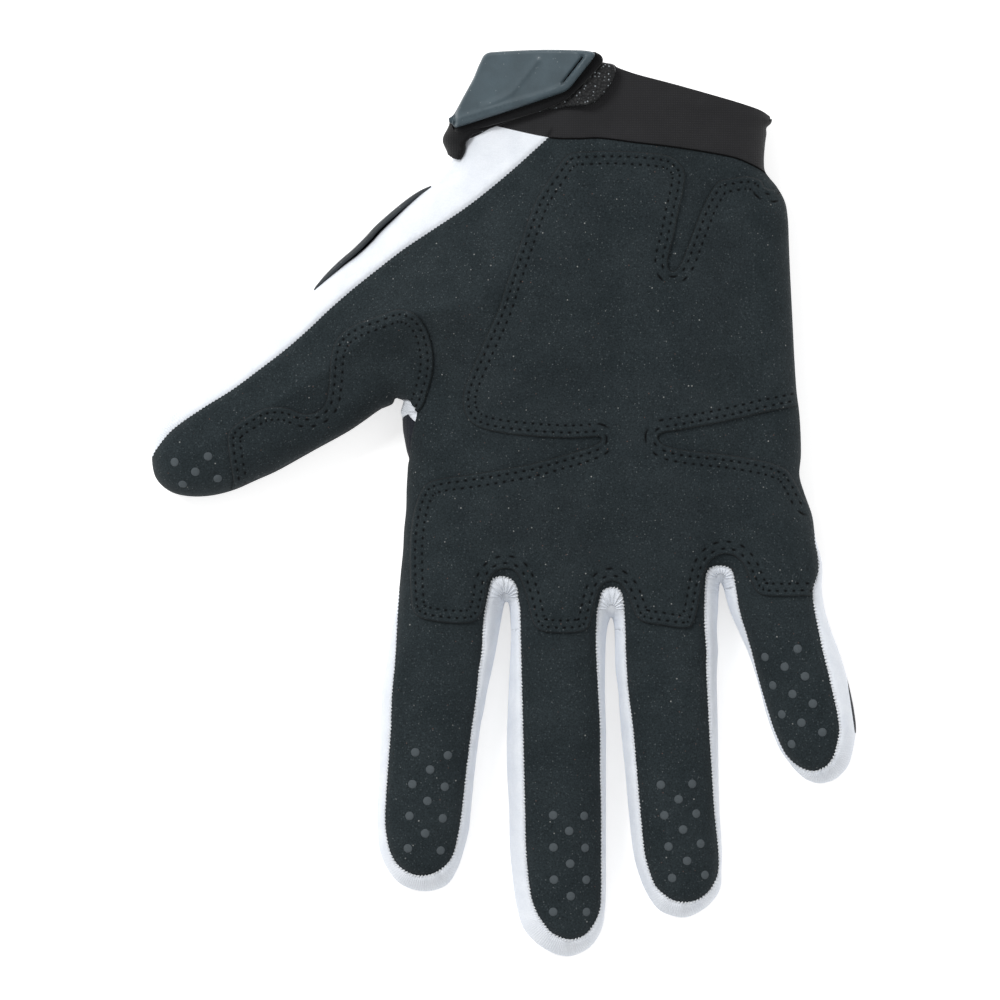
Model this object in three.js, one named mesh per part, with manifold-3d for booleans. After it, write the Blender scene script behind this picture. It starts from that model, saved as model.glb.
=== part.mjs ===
// A right-hand watersports glove that lies on its back with the palm up.
// Millimetres. +X runs to the little finger's side, +Y to the cuff and +Z up from the surface it lies on.
import * as THREE from 'three';
import { mergeVertices } from 'three/addons/utils/BufferGeometryUtils.js';
import Module from 'manifold-3d';

const wasm = await Module();
wasm.setup();

// Driving sizes
const palmWidth = 101;
const palmLength = 104.5;
const palmThickness = 27;
const fingerLength = 88;
const fingerWidth = 24;
const fingerThickness = 17;
const cuffWidth = 76;
const cuffThickness = 22;
const cuffLift = 3.6;

// Walls, layers and clearances
const clothWall = 1.5;
const weldDistance = 0.02;
const cuffWall = 2.6;
const hemProud = 0.8;
const hemWidth = 3.6;
const padThickness = 1.2;
const guardThickness = 1.8;
const tapeThickness = 1.1;
const strapThickness = 1.4;
const tabThickness = 2.6;
const weltHeight = 0.7;
const weltWidth = 2.4;
const gap = 0.3;

// Where the white sides meet the dark back, and where the widest level of a section is
const backEdge = 4.2;
const widestLevel = 0.44;
// How far a section would reach below the surface that flattens it
const pressedDepth = 1.3;

// Roundness of a section above and below its widest level
const topRoundness = 2.2;
const backRoundness = 2.8;
const digitRingPoints = 14;
const palmRingPoints = 26;
const webShare = 0.11;
// Length by which a digit reaches into the palm
const rootDepth = 12;
// Share of a digit's length over which it narrows
const taperEnd = 0.9;
const palmHollow = 4;
const thenarRise = 3;

// Digits. Root across and along the palm, length, widths and thicknesses are shares of the sizes above.
// Lean is in degrees from straight down the page, at the root and at the tip.
// Margins are what the white sides show beside the dark front, as shares of the finger width.
const digits = [
  { name: 'index', across: 0.121, along: -0.009, length: 0.852, lean: -11, leanTip: 0,
    rootWidth: 1.05, tipWidth: 0.92, thick: 1, tipThick: 0.9,
    leftRoot: 0, left: 0.1, rightRoot: 0.2, right: 0.09, tip: 0.15 },
  { name: 'middle', across: 0.374, along: -0.032, length: 1, lean: -2, leanTip: 4.5,
    rootWidth: 0.97, tipWidth: 0.96, thick: 1.03, tipThick: 0.92,
    leftRoot: 0.08, left: 0.16, rightRoot: 0.1, right: 0.05, tip: 0.18 },
  { name: 'ring', across: 0.623, along: -0.028, length: 0.9, lean: 1.5, leanTip: 6,
    rootWidth: 1.01, tipWidth: 0.89, thick: 1, tipThick: 0.9,
    leftRoot: 0.1, left: 0.115, rightRoot: 0.14, right: 0.055, tip: 0.16 },
  { name: 'little', across: 0.87, along: 0, length: 0.585, lean: 22, leanTip: 7,
    rootWidth: 0.89, tipWidth: 0.83, thick: 0.95, tipThick: 0.85,
    leftRoot: 0.12, left: 0.025, rightRoot: 0.06, right: 0.185, tip: 0.13 },
];
const thumb = { name: 'thumb', across: 0.185, along: 0.734, length: 1.064, lean: -54, leanTip: -57,
  rootWidth: 1.64, tipWidth: 0.97, thick: 1.4, tipThick: 0.95,
  leftRoot: 0.3, left: 0.24, rightRoot: -0.4, right: -0.4, tip: -0.1 };

// Sections of the palm from the cuff to the finger roots: place along, thumb side, little finger's side,
// thickness as a share of the palm's, and how much of the hollow and of the ball of the thumb it has.
const palmSections = [
  { along: 1.1, left: 0.114, right: 0.862, thick: 0.93, hollow: 0 },
  { along: 1, left: 0.109, right: 0.87, thick: 0.95, hollow: 0.1 },
  { along: 0.93, left: 0.102, right: 0.888, thick: 0.97, hollow: 0.3 },
  { along: 0.86, left: 0.083, right: 0.91, thick: 0.99, hollow: 0.6 },
  { along: 0.77, left: 0.055, right: 0.919, thick: 1, hollow: 0.9 },
  { along: 0.63, left: 0.021, right: 0.925, thick: 1, hollow: 1 },
  { along: 0.495, left: 0.002, right: 0.934, thick: 0.96, hollow: 1 },
  { along: 0.36, left: 0.002, right: 0.945, thick: 0.89, hollow: 0.8 },
  { along: 0.22, left: 0.014, right: 0.953, thick: 0.8, hollow: 0.4 },
  { along: 0.105, left: 0.01, right: 0.979, thick: 0.72, hollow: 0.1 },
  { along: 0.02, left: 0.004, right: 0.994, thick: 0.67, hollow: 0 },
  { along: -0.002, left: 0.03, right: 0.96, thick: 0.6, hollow: 0 },
];

// Ends of the webs between the fingers
const webs = [
  { across: 0.251, along: -0.05 },
  { across: 0.498, along: -0.096 },
  { across: 0.758, along: -0.016 },
];

// Seam between the hand and the cuff, and the cuff's rim, from the thumb side across
const wristSeam = [
  { across: -0.05, along: 0.86 }, { across: 0.081, along: 0.904 }, { across: 0.123, along: 0.94 },
  { across: 0.164, along: 0.993 }, { across: 0.232, along: 1.028 }, { across: 0.348, along: 1.002 },
  { across: 0.557, along: 0.989 }, { across: 0.73, along: 0.968 }, { across: 0.855, along: 0.931 },
  { across: 0.915, along: 0.849 }, { across: 1.02, along: 0.78 },
];
const cuffRim = [
  { across: -0.05, along: 0.97 }, { across: 0.116, along: 1.041 }, { across: 0.164, along: 1.096 },
  { across: 0.235, along: 1.142 }, { across: 0.353, along: 1.168 }, { across: 0.483, along: 1.17 },
  { across: 0.659, along: 1.119 }, { across: 0.851, along: 1.069 }, { across: 1.02, along: 0.99 },
];

// Dark front of the palm without the fingers: from the cuff down the thumb side, past the thumb,
// down beside the index finger, across the roots and up the little finger's side
const palmFront = [
  { across: 0.348, along: 1.2 }, { across: 0.348, along: 1.002 }, { across: 0.149, along: 0.839 },
  { across: 0.007, along: 0.748 }, { across: -0.114, along: 0.656 }, { across: -0.218, along: 0.564 },
  { across: -0.16, along: 0.3 }, { across: -0.06, along: 0.3 }, { across: -0.06, along: 0 },
  { across: 0.02, along: -0.02 }, { across: 0.215, along: -0.01 }, { across: 0.235, along: 0.003 },
  { across: 0.262, along: -0.012 }, { across: 0.46, along: -0.035 }, { across: 0.5, along: -0.022 },
  { across: 0.54, along: -0.035 }, { across: 0.725, along: 0.008 }, { across: 0.751, along: 0.023 },
  { across: 0.785, along: 0.008 }, { across: 0.97, along: -0.005 }, { across: 1.08, along: 0.06 },
  { across: 1.08, along: 1.2 },
];

// Second layer on the palm
const padField = [
  { across: 0.395, along: 0.96 }, { across: 0.322, along: 0.862 }, { across: 0.282, along: 0.757 },
  { across: 0.23, along: 0.606 }, { across: 0.149, along: 0.429 }, { across: 0.149, along: 0.372 },
  { across: 0.19, along: 0.339 }, { across: 0.465, along: 0.31 }, { across: 0.38, along: 0.271 },
  { across: 0.235, along: 0.243 }, { across: 0.092, along: 0.222 }, { across: 0.047, along: 0.195 },
  { across: 0.021, along: 0.08 }, { across: 0.024, along: -0.06 }, { across: 0.045, along: -0.09 },
  { across: 0.14, along: -0.11 }, { across: 0.325, along: -0.12 }, { across: 0.44, along: -0.13 },
  { across: 0.565, along: -0.11 }, { across: 0.69, along: -0.119 }, { across: 0.84, along: -0.05 },
  { across: 0.99, along: -0.045 }, { across: 1.06, along: 0 }, { across: 1.06, along: 0.2 },
  { across: 0.95, along: 0.22 }, { across: 0.919, along: 0.241 }, { across: 0.853, along: 0.264 },
  { across: 0.682, along: 0.284 }, { across: 0.58, along: 0.325 }, { across: 0.69, along: 0.34 },
  { across: 0.936, along: 0.39 }, { across: 1.06, along: 0.42 }, { across: 1.06, along: 0.8 },
  { across: 0.915, along: 0.85 }, { across: 0.872, along: 0.915 }, { across: 0.77, along: 0.945 },
  { across: 0.69, along: 0.953 }, { across: 0.615, along: 0.965 }, { across: 0.5, along: 0.968 },
];
// Bays round the finger roots: their middle, half width and top, as shares of the palm
const padBays = [
  { across: 0.237, half: 0.036, top: 0.018 },
  { across: 0.497, half: 0.036, top: -0.012 },
  { across: 0.768, half: 0.05, top: 0.05 },
];
const padNotch = { across: 0.62, half: 0.048, from: 0.94, to: 0.71 };

// Second layer between the thumb and the palm
const thumbPadField = [
  { across: -0.393, along: 0.18 }, { across: -0.4, along: 0.245 }, { across: -0.398, along: 0.32 },
  { across: -0.33, along: 0.372 }, { across: -0.218, along: 0.372 }, { across: -0.17, along: 0.41 },
  { across: -0.161, along: 0.51 }, { across: -0.105, along: 0.575 }, { across: -0.002, along: 0.61 },
  { across: 0.055, along: 0.57 }, { across: 0.073, along: 0.48 }, { across: 0.045, along: 0.39 },
  { across: -0.03, along: 0.3 }, { across: -0.2, along: 0.1 },
];

// Band along the back of the thumb, from the cuff's side down
const guardField = [
  { across: 0.09, along: 0.9 }, { across: -0.05, along: 0.85 }, { across: -0.28, along: 0.64 },
  { across: -0.2, along: 0.6 }, { across: 0.02, along: 0.79 },
];

// Tape, strap and tab on the cuff
const tapeField = [
  { across: 0.16, along: 1.0 }, { across: 0.395, along: 1.07 }, { across: 0.45, along: 1.072 },
  { across: 0.49, along: 1.11 }, { across: 0.49, along: 1.155 }, { across: 0.4, along: 1.15 },
  { across: 0.19, along: 1.09 },
];
const strapField = [
  { across: 0.02, along: 1.045 }, { across: 0.02, along: 0.985 }, { across: 0.125, along: 0.968 },
  { across: 0.14, along: 0.952 }, { across: 0.157, along: 0.984 }, { across: 0.165, along: 1.014 },
  { across: 0.385, along: 1.08 }, { across: 0.425, along: 1.12 }, { across: 0.44, along: 1.15 },
  { across: 0.33, along: 1.16 }, { across: 0.22, along: 1.12 }, { across: 0.15, along: 1.07 },
];
const strapBack = { from: -0.1, to: 0.45, low: 0.97, high: 1.045 };
const tabCorners = [
  { across: 0.129, along: 1.022, round: 1.2 }, { across: 0.388, along: 1.104, round: 2.2 },
  { across: 0.461, along: 1.194, round: 0.8 }, { across: 0.19, along: 1.198, round: 2 },
  { across: 0.166, along: 1.12, round: 6 },
];

// Plan of the palm: shares of its width from the thumb side and of its length from the finger roots
const acrossPalm = (share) => share * palmWidth;
const alongPalm = (share) => share * palmLength;
const plan = (rows) => rows.map((row) => new THREE.Vector2(acrossPalm(row.across), alongPalm(row.along)));

const smooth = (low, high, value) => THREE.MathUtils.smoothstep(value, low, high);
const mix = THREE.MathUtils.lerp;
const power = (value, roundness) => Math.sign(value) * Math.abs(value) ** (2 / roundness);

// Closed body of a mesh whose faces are shared at their corners
function solidOf(geometry) {
  geometry.deleteAttribute('normal');
  geometry.deleteAttribute('uv');
  const merged = mergeVertices(geometry, 1e-4);
  const vertProperties = new Float32Array(merged.attributes.position.array);
  const triVerts = new Uint32Array(merged.index.array);
  return new wasm.Manifold(new wasm.Mesh({ numProp: 3, vertProperties, triVerts }));
}

// The largest body of a cut, without the slivers that a grazing cut leaves
function mainBody(solid) {
  const bodies = solid.decompose();
  return bodies.reduce((best, body) => (body.volume() > best.volume() ? body : best));
}

function geometryOf(solid) {
  const mesh = solid.getMesh();
  const geometry = new THREE.BufferGeometry();
  geometry.setAttribute('position', new THREE.BufferAttribute(new Float32Array(mesh.vertProperties), 3));
  geometry.setIndex(new THREE.BufferAttribute(new Uint32Array(mesh.triVerts), 1));
  return geometry;
}

// Mesh of a cut piece with its corners welded, without the faces that the weld closes up
function pieceGeometry(solid) {
  const welded = mergeVertices(geometryOf(mainBody(solid)), weldDistance);
  const faces = new Map();
  for (let i = 0; i < welded.index.count; i += 3) {
    const face = [0, 1, 2].map((corner) => welded.index.getX(i + corner));
    const key = [...face].sort((a, b) => a - b).join();
    const open = new Set(face).size === 3;
    if (open && faces.has(key)) faces.delete(key);
    else if (open) faces.set(key, face);
  }
  welded.setIndex([...faces.values()].flat());
  const geometry = geometryOf(mainBody(solidOf(welded)));
  geometry.computeVertexNormals();
  return geometry;
}

// Skin through rings of equal count, closed by a fan at each end
function loft(rings) {
  const count = rings[0].length;
  const points = rings.flat();
  const index = [];
  for (let ring = 0; ring < rings.length - 1; ring += 1) {
    for (let i = 0; i < count; i += 1) {
      const a = ring * count + i;
      const b = ring * count + ((i + 1) % count);
      index.push(a, b, a + count, b, b + count, a + count);
    }
  }
  for (const [ring, turn] of [[0, 1], [rings.length - 1, -1]]) {
    const centre = rings[ring].reduce((sum, p) => sum.add(p), new THREE.Vector3()).divideScalar(count);
    const hub = points.push(centre) - 1;
    for (let i = 0; i < count; i += 1) {
      const a = ring * count + i;
      const b = ring * count + ((i + 1) % count);
      index.push(...(turn > 0 ? [hub, b, a] : [hub, a, b]));
    }
  }
  const geometry = new THREE.BufferGeometry().setFromPoints(points);
  geometry.setIndex(index);
  const solid = solidOf(geometry);
  return solid.volume() > 0 ? solid : solidOf(flipped(geometry));
}

function flipped(geometry) {
  const turned = geometry.clone();
  turned.index.array.reverse();
  return turned;
}

// Upright block over an outline in the plan
function prism(outline, low, high) {
  const depth = high - low;
  const block = new THREE.ExtrudeGeometry(new THREE.Shape(outline), { depth, bevelEnabled: false });
  block.translate(0, 0, low);
  return solidOf(block);
}

// Outline moved outward by a distance
function grownOutline(outline, distance) {
  const count = outline.length;
  const turn = THREE.ShapeUtils.area(outline) > 0 ? 1 : -1;
  return outline.map((point, i) => {
    const before = point.clone().sub(outline[(i + count - 1) % count]).normalize();
    const after = outline[(i + 1) % count].clone().sub(point).normalize();
    const normal = new THREE.Vector2(before.y + after.y, -before.x - after.x).normalize();
    const spread = Math.max(0.5, normal.dot(new THREE.Vector2(after.y, -after.x)));
    return point.clone().addScaledVector(normal, (turn * distance) / spread);
  });
}

// Outline through corners, each cut back by its own length and rounded
function roundedCorners(rows, inset) {
  const corners = grownOutline(plan(rows), -inset);
  return corners.flatMap((corner, i) => {
    const before = corners[(i + corners.length - 1) % corners.length];
    const after = corners[(i + 1) % corners.length];
    const back = (to) => corner.clone().add(to.clone().sub(corner).setLength(rows[i].round));
    const curve = new THREE.QuadraticBezierCurve(back(before), corner, back(after));
    return curve.getPoints(3);
  });
}

// Place, heading and half width of a digit at a distance from its root
function digitAt(digit, distance) {
  const length = digit.length * fingerLength;
  const steps = 24;
  const place = new THREE.Vector2(acrossPalm(digit.across), alongPalm(digit.along));
  const leanAt = (along) => THREE.MathUtils.degToRad(mix(digit.lean, digit.leanTip, along / length));
  for (let i = 0; i < steps; i += 1) {
    const lean = leanAt((distance * (i + 0.5)) / steps);
    place.x += (Math.sin(lean) * distance) / steps;
    place.y -= (Math.cos(lean) * distance) / steps;
  }
  const lean = leanAt(distance);
  const share = THREE.MathUtils.clamp(distance / length, 0, 1);
  const remaining = 1 - smooth(0, taperEnd, share);
  const halfWidth = (fingerWidth / 2) * mix(digit.tipWidth, digit.rootWidth, remaining);
  const thickness = fingerThickness * mix(digit.tipThick, digit.thick, remaining);
  return { place, side: new THREE.Vector2(Math.cos(lean), Math.sin(lean)), halfWidth, thickness, share };
}

// Closed section: rounded above its widest level, flatter below it
function sectionRing(count, place, side, halfWidth, low, widest, high) {
  return Array.from({ length: count }, (unused, i) => {
    const angle = (2 * Math.PI * i) / count;
    const roundness = Math.sin(angle) > 0 ? topRoundness : backRoundness;
    const out = halfWidth * power(Math.cos(angle), roundness);
    const rise = power(Math.sin(angle), roundness);
    const level = widest + rise * (rise > 0 ? high - widest : widest - low);
    return new THREE.Vector3(place.x + side.x * out, place.y + side.y * out, level);
  });
}

// Full digit with a domed tip, grown outward by a distance
function digitSolid(digit, grow) {
  const length = digit.length * fingerLength;
  const dome = digit.tipWidth * fingerWidth * 0.5;
  const shaft = [0, 0.25, 0.5, 0.75, 1].map((share) => ({ at: mix(-rootDepth, length - dome, share), size: 1 }));
  const cap = [28, 50, 68, 84].map((degrees) => {
    const angle = THREE.MathUtils.degToRad(degrees);
    return { at: length - dome + (dome + grow) * Math.sin(angle), size: Math.cos(angle) };
  });
  return loft([...shaft, ...cap].map(({ at, size }) => {
    const { place, side, halfWidth, thickness } = digitAt(digit, at);
    const widest = widestLevel * thickness;
    const high = widest + (thickness - widest + grow) * size;
    const low = widest - (widest + pressedDepth + grow) * size;
    return sectionRing(digitRingPoints, place, side, (halfWidth + grow) * size, low, widest, high);
  }));
}

// Length by which a web reaches past the finger roots
function webAt(across) {
  const rows = [{ across: 0, along: 0 }, ...webs, { across: 1, along: 0 }];
  const next = Math.max(1, rows.findIndex((row) => row.across >= across));
  const [a, b] = [rows[next - 1], rows[next]];
  return mix(a.along, b.along, smooth(a.across, b.across, across));
}

function palmSolid(grow) {
  const rings = palmSections.map((row) => {
    const thickness = palmThickness * row.thick;
    const widest = widestLevel * fingerThickness;
    const middle = (row.left + row.right) / 2;
    const place = new THREE.Vector2(acrossPalm(middle), alongPalm(row.along));
    const halfWidth = acrossPalm(row.right - middle) + grow;
    const ring = sectionRing(palmRingPoints, place, new THREE.Vector2(1, 0), halfWidth,
      -pressedDepth - grow, widest, thickness + grow);
    const webbed = 1 - smooth(0, webShare, row.along);
    for (const point of ring) {
      const across = THREE.MathUtils.clamp(point.x / palmWidth, 0, 1);
      point.y += webbed * alongPalm(webAt(across)) - (row.along < 0 ? grow : 0);
      if (point.z > widest) {
        const share = (point.z - widest) / (thickness - widest);
        const hollow = palmHollow * Math.exp(-(((across - 0.5) / 0.2) ** 2));
        const ball = thenarRise * Math.exp(-(((across - 0.16) / 0.14) ** 2));
        point.z += share * row.hollow * (ball - hollow);
      }
    }
    return ring;
  });
  return loft(rings);
}

const farBelow = -20;
const farAbove = 80;
const halfSpan = 400;
const square = [[-1, -1], [1, -1], [1, 1], [-1, 1]].map(([x, y]) => new THREE.Vector2(x, y).multiplyScalar(halfSpan));
const layerBetween = (low, high) => prism(square, low, high);

// Hand without a cuff, grown outward and standing on a level
function hand(grow, floor) {
  const parts = [palmSolid(grow), ...digits.map((digit) => digitSolid(digit, grow)), digitSolid(thumb, grow)];
  return parts.reduce((all, part) => all.add(part)).intersect(layerBetween(floor, farAbove));
}

// Everything on the finger side of the wrist seam, held back by a clearance
function fingerSide(clearance) {
  const seam = plan(wristSeam).map((p) => new THREE.Vector2(p.x, p.y - clearance));
  return prism([...seam, new THREE.Vector2(halfSpan, -halfSpan), new THREE.Vector2(-halfSpan, -halfSpan)],
    farBelow, farAbove);
}

// Strip over the front of a digit inside its white margins
function digitFront(digit, grow) {
  const length = digit.length * fingerLength - digit.tip * fingerWidth + grow;
  const dome = 0.42 * digit.tipWidth * fingerWidth;
  const left = [];
  const right = [];
  const shaft = [-0.1, 0, 0.2, 0.4, 0.7, 1].map((share) => ({ at: share * (length - dome), size: 1 }));
  const cap = [28, 52, 72, 84].map((degrees) => {
    const angle = THREE.MathUtils.degToRad(degrees);
    return { at: length - dome * (1 - Math.sin(angle)), size: Math.cos(angle) };
  });
  for (const { at, size } of [...shaft, ...cap]) {
    const { place, side, halfWidth, share } = digitAt(digit, at);
    const spread = smooth(0, 0.35, share);
    const leftEdge = halfWidth - fingerWidth * mix(digit.leftRoot, digit.left, spread) + grow;
    const rightEdge = halfWidth - fingerWidth * mix(digit.rightRoot, digit.right, spread) + grow;
    const middle = (rightEdge - leftEdge) / 2;
    const half = ((rightEdge + leftEdge) / 2) * size;
    left.push(place.clone().addScaledVector(side, middle - half));
    right.push(place.clone().addScaledVector(side, middle + half));
  }
  return prism([...left, ...right.reverse()], farBelow, farAbove);
}

function darkFront(grow) {
  const palm = prism(grownOutline(plan(palmFront), grow), farBelow, farAbove);
  return [...digits, thumb].reduce((all, digit) => all.add(digitFront(digit, grow)), palm);
}

// Shell of the hand between two levels of growth
const handShell = hand(0, 0).subtract(hand(-clothWall, clothWall)).intersect(fingerSide(gap / 2));
const aboveBack = handShell.intersect(layerBetween(backEdge + gap / 2, farAbove));

// Room of one finger, split from the next along the middle of the web
function fingerRoom(order) {
  const edgeAt = (web, side) => {
    const x = acrossPalm(web.across) + (side * gap) / 2;
    const y = alongPalm(web.along);
    return [new THREE.Vector2(x, y + 20), new THREE.Vector2(x, y - 8),
      new THREE.Vector2(x + 60 * (web.across - 0.42), y - 100)];
  };
  const left = order > 0 ? edgeAt(webs[order - 1], 1)
    : [new THREE.Vector2(-40, 8), new THREE.Vector2(-40, -100)];
  const right = order < webs.length ? edgeAt(webs[order], -1)
    : [new THREE.Vector2(palmWidth + 40, 20), new THREE.Vector2(palmWidth + 40, -100)];
  return prism([...left, ...right.reverse()], farBelow, farAbove);
}

const layerOver = (low, high) => hand(high, 0).subtract(hand(low, 0));

function palmPad() {
  let pad = prism(plan(padField), farBelow, farAbove);
  for (const bay of padBays) {
    const half = acrossPalm(bay.half);
    const centre = new THREE.Vector2(acrossPalm(bay.across), alongPalm(bay.top) - half);
    const arch = [180, 150, 120, 90, 60, 30, 0].map((degrees) => {
      const angle = THREE.MathUtils.degToRad(degrees);
      return new THREE.Vector2(centre.x + half * Math.cos(angle), centre.y + half * Math.sin(angle));
    });
    const foot = [new THREE.Vector2(centre.x + half * 1.35, centre.y - 40),
      new THREE.Vector2(centre.x - half * 1.35, centre.y - 40)];
    pad = pad.subtract(prism([...arch, ...foot], farBelow, farAbove));
  }
  const tip = alongPalm(padNotch.to);
  const top = alongPalm(padNotch.from) + 10;
  const half = acrossPalm(padNotch.half);
  const middle = acrossPalm(padNotch.across);
  const wedge = [new THREE.Vector2(middle - half * 0.4, tip + 2), new THREE.Vector2(middle, tip),
    new THREE.Vector2(middle + half * 0.4, tip + 2), new THREE.Vector2(middle + half, top),
    new THREE.Vector2(middle - half, top)];
  pad = pad.subtract(prism(wedge, farBelow, farAbove));
  return layerOver(gap, gap + padThickness).intersect(pad).intersect(fingerSide(gap))
    .intersect(layerBetween(backEdge + 2, farAbove));
}

// Cuff: a straight flattened tube, cut by the wrist seam and the rim
function cuffTube(grow) {
  const middle = acrossPalm(0.4885);
  const low = cuffLift;
  const rings = [0.7, 1.3].map((along) => sectionRing(palmRingPoints,
    new THREE.Vector2(middle, alongPalm(along)), new THREE.Vector2(1, 0), cuffWidth / 2 + grow,
    low - grow, low + cuffThickness * 0.5, low + cuffThickness + grow));
  return loft(rings);
}

function cuffRoom(clearance, short, long) {
  const seam = plan(wristSeam).map((p) => new THREE.Vector2(p.x, p.y + clearance));
  const rim = plan(cuffRim).map((p) => new THREE.Vector2(p.x, p.y - short));
  const from = long === undefined ? seam : plan(cuffRim).map((p) => new THREE.Vector2(p.x, p.y - long));
  return prism([...from, ...rim.reverse()], farBelow, farAbove);
}

function cuffBand() {
  const band = cuffTube(0).intersect(cuffRoom(gap / 2, 0));
  const hem = cuffTube(hemProud).intersect(cuffRoom(0, 0, hemWidth));
  return band.add(hem).subtract(cuffTube(-cuffWall));
}

const tapeLow = hemProud + gap;
const strapLow = tapeLow + tapeThickness + gap;
const tabLow = strapLow + strapThickness + gap;
const cuffLayer = (low, high) => cuffTube(high).subtract(cuffTube(low));
const palmHalf = layerBetween(cuffLift + cuffThickness * 0.5, farAbove);
const overPalm = (rows) => prism(plan(rows), farBelow, farAbove).intersect(palmHalf);

function strapSolid() {
  const front = cuffLayer(strapLow, strapLow + strapThickness).intersect(overPalm(strapField));
  const back = [
    { across: strapBack.from, along: strapBack.low }, { across: strapBack.to, along: strapBack.low },
    { across: strapBack.to, along: strapBack.high }, { across: strapBack.from, along: strapBack.high },
  ];
  const behind = cuffLayer(tapeLow, strapLow + gap)
    .intersect(prism(plan(back), farBelow, cuffLift + cuffThickness * 0.6))
    .intersect(cuffRoom(gap, 0));
  return front.add(behind);
}

function tabSolid() {
  const body = cuffLayer(tabLow, tabLow + tabThickness)
    .intersect(prism(roundedCorners(tabCorners, 0), farBelow, farAbove)).intersect(palmHalf);
  const field = roundedCorners(tabCorners, weltWidth);
  const recess = cuffLayer(tabLow + tabThickness - weltHeight, tabLow + tabThickness + 5)
    .intersect(prism(field, farBelow, farAbove)).intersect(palmHalf);
  return body.subtract(recess);
}

function thumbGuard() {
  return layerOver(gap, gap + guardThickness).intersect(prism(plan(guardField), 1, 15));
}

const colours = {
  suede: 0x2a3135, white: 0xdfe4ea, back: 0x24272b, rubber: 0x4e5c63, cuff: 0x2d2d2f, tape: 0x1c1d20, strap: 0x191a1e,
};
const finish = (colour, roughness) => new THREE.MeshStandardMaterial({ color: colour, roughness, metalness: 0 });

const glove = new THREE.Group();
function addPiece(name, solid, material) {
  const mesh = new THREE.Mesh(pieceGeometry(solid), material);
  mesh.name = name;
  glove.add(mesh);
}

const suede = finish(colours.suede, 0.9);
const white = finish(colours.white, 0.8);
addPiece('palm_panel', aboveBack.intersect(darkFront(0)), suede);
addPiece('palm_pad', palmPad(), suede);
addPiece('thumb_pad', layerOver(gap, gap + padThickness).intersect(prism(plan(thumbPadField), backEdge + 2, farAbove)),
  suede);
const sides = aboveBack.subtract(darkFront(gap));
digits.forEach((digit, order) => {
  addPiece(`side_wall_${digit.name}`, sides.intersect(fingerRoom(order)), white);
});
addPiece('thumb_gusset', sides.intersect(prism(
  [[-200, 10], [150, 10], [150, 200], [-200, 200]].map(([x, y]) => new THREE.Vector2(x, y)), farBelow, farAbove,
)), white);
addPiece('back_panel', handShell.intersect(layerBetween(farBelow, backEdge - gap / 2)), finish(colours.back, 0.85));
addPiece('thumb_guard', thumbGuard(), finish(colours.rubber, 0.6));
addPiece('cuff_band', cuffBand(), finish(colours.cuff, 0.85));
addPiece('loop_patch', cuffLayer(tapeLow, tapeLow + tapeThickness).intersect(overPalm(tapeField)),
  finish(colours.tape, 0.95));
addPiece('strap', strapSolid(), finish(colours.strap, 0.85));
addPiece('strap_tab', tabSolid(), finish(colours.rubber, 0.55));

// The origin is under the middle of the glove, on the surface that it lies on
const box = new THREE.Box3().setFromObject(glove);
const centre = box.getCenter(new THREE.Vector3());
glove.position.set(-centre.x, -centre.y, -box.min.z);

export default glove;
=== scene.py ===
# Looks of the watersports glove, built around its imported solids.
import math

import bpy
import numpy as np
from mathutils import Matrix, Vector, kdtree, noise
from mathutils.geometry import delaunay_2d_cdt


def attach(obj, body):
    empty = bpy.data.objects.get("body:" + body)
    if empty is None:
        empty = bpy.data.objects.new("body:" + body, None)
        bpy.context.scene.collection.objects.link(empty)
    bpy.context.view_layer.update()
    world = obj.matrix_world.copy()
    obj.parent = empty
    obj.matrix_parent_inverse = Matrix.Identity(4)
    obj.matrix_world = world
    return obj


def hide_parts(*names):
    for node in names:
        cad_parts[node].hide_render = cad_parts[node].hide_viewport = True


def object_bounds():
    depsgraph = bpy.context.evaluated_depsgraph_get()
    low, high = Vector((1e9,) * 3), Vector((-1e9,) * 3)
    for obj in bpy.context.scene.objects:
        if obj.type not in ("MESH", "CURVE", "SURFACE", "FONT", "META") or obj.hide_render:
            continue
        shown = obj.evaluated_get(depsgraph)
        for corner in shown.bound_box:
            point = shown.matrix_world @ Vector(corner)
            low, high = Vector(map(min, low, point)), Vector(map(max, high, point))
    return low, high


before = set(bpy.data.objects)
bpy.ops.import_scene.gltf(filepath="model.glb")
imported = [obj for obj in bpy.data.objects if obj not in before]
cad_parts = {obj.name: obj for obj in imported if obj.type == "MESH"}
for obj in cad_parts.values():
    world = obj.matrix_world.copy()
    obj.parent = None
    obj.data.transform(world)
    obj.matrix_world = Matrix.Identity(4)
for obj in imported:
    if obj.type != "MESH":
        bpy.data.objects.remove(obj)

cad_low, cad_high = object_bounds()

# Scale of the photograph: its glove is PHOTO_LENGTH pixels long and its middle is at PHOTO_CENTRE
PHOTO_LENGTH = 903
PHOTO_CENTRE = 504.5
IMAGE_SIZE = 1000
METRE = 0.001
PIXEL = (cad_high.y - cad_low.y) / METRE / PHOTO_LENGTH

# Heights of the glove in millimetres, and the reach of its roundings in from the outline
FINGER_TOP = 16.6
WIDEST = 7.4
TOP_ROUND = 10.5
UNDER_ROUND = 6.5
PALM_RISE, RISE_FROM, RISE_TO = 10, 7, 30
PALM_HOLLOW, HOLLOW_PLACE, HOLLOW_SIZE = 4, (640, 350), (20, 32)
THENAR_RISE, THENAR_PLACE, THENAR_SIZE, THENAR_EDGE = 3, (440, 300), 18, (6, 16)
SIDE_LOW = 4.2
CUFF_LIFT = 3.6
CLOTH = 0.9
CUFF_CLOTH = 2.4
STRAP_CLOTH = 1.0
ON_EDGE = 0.02
TINY = 1e-12


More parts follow.
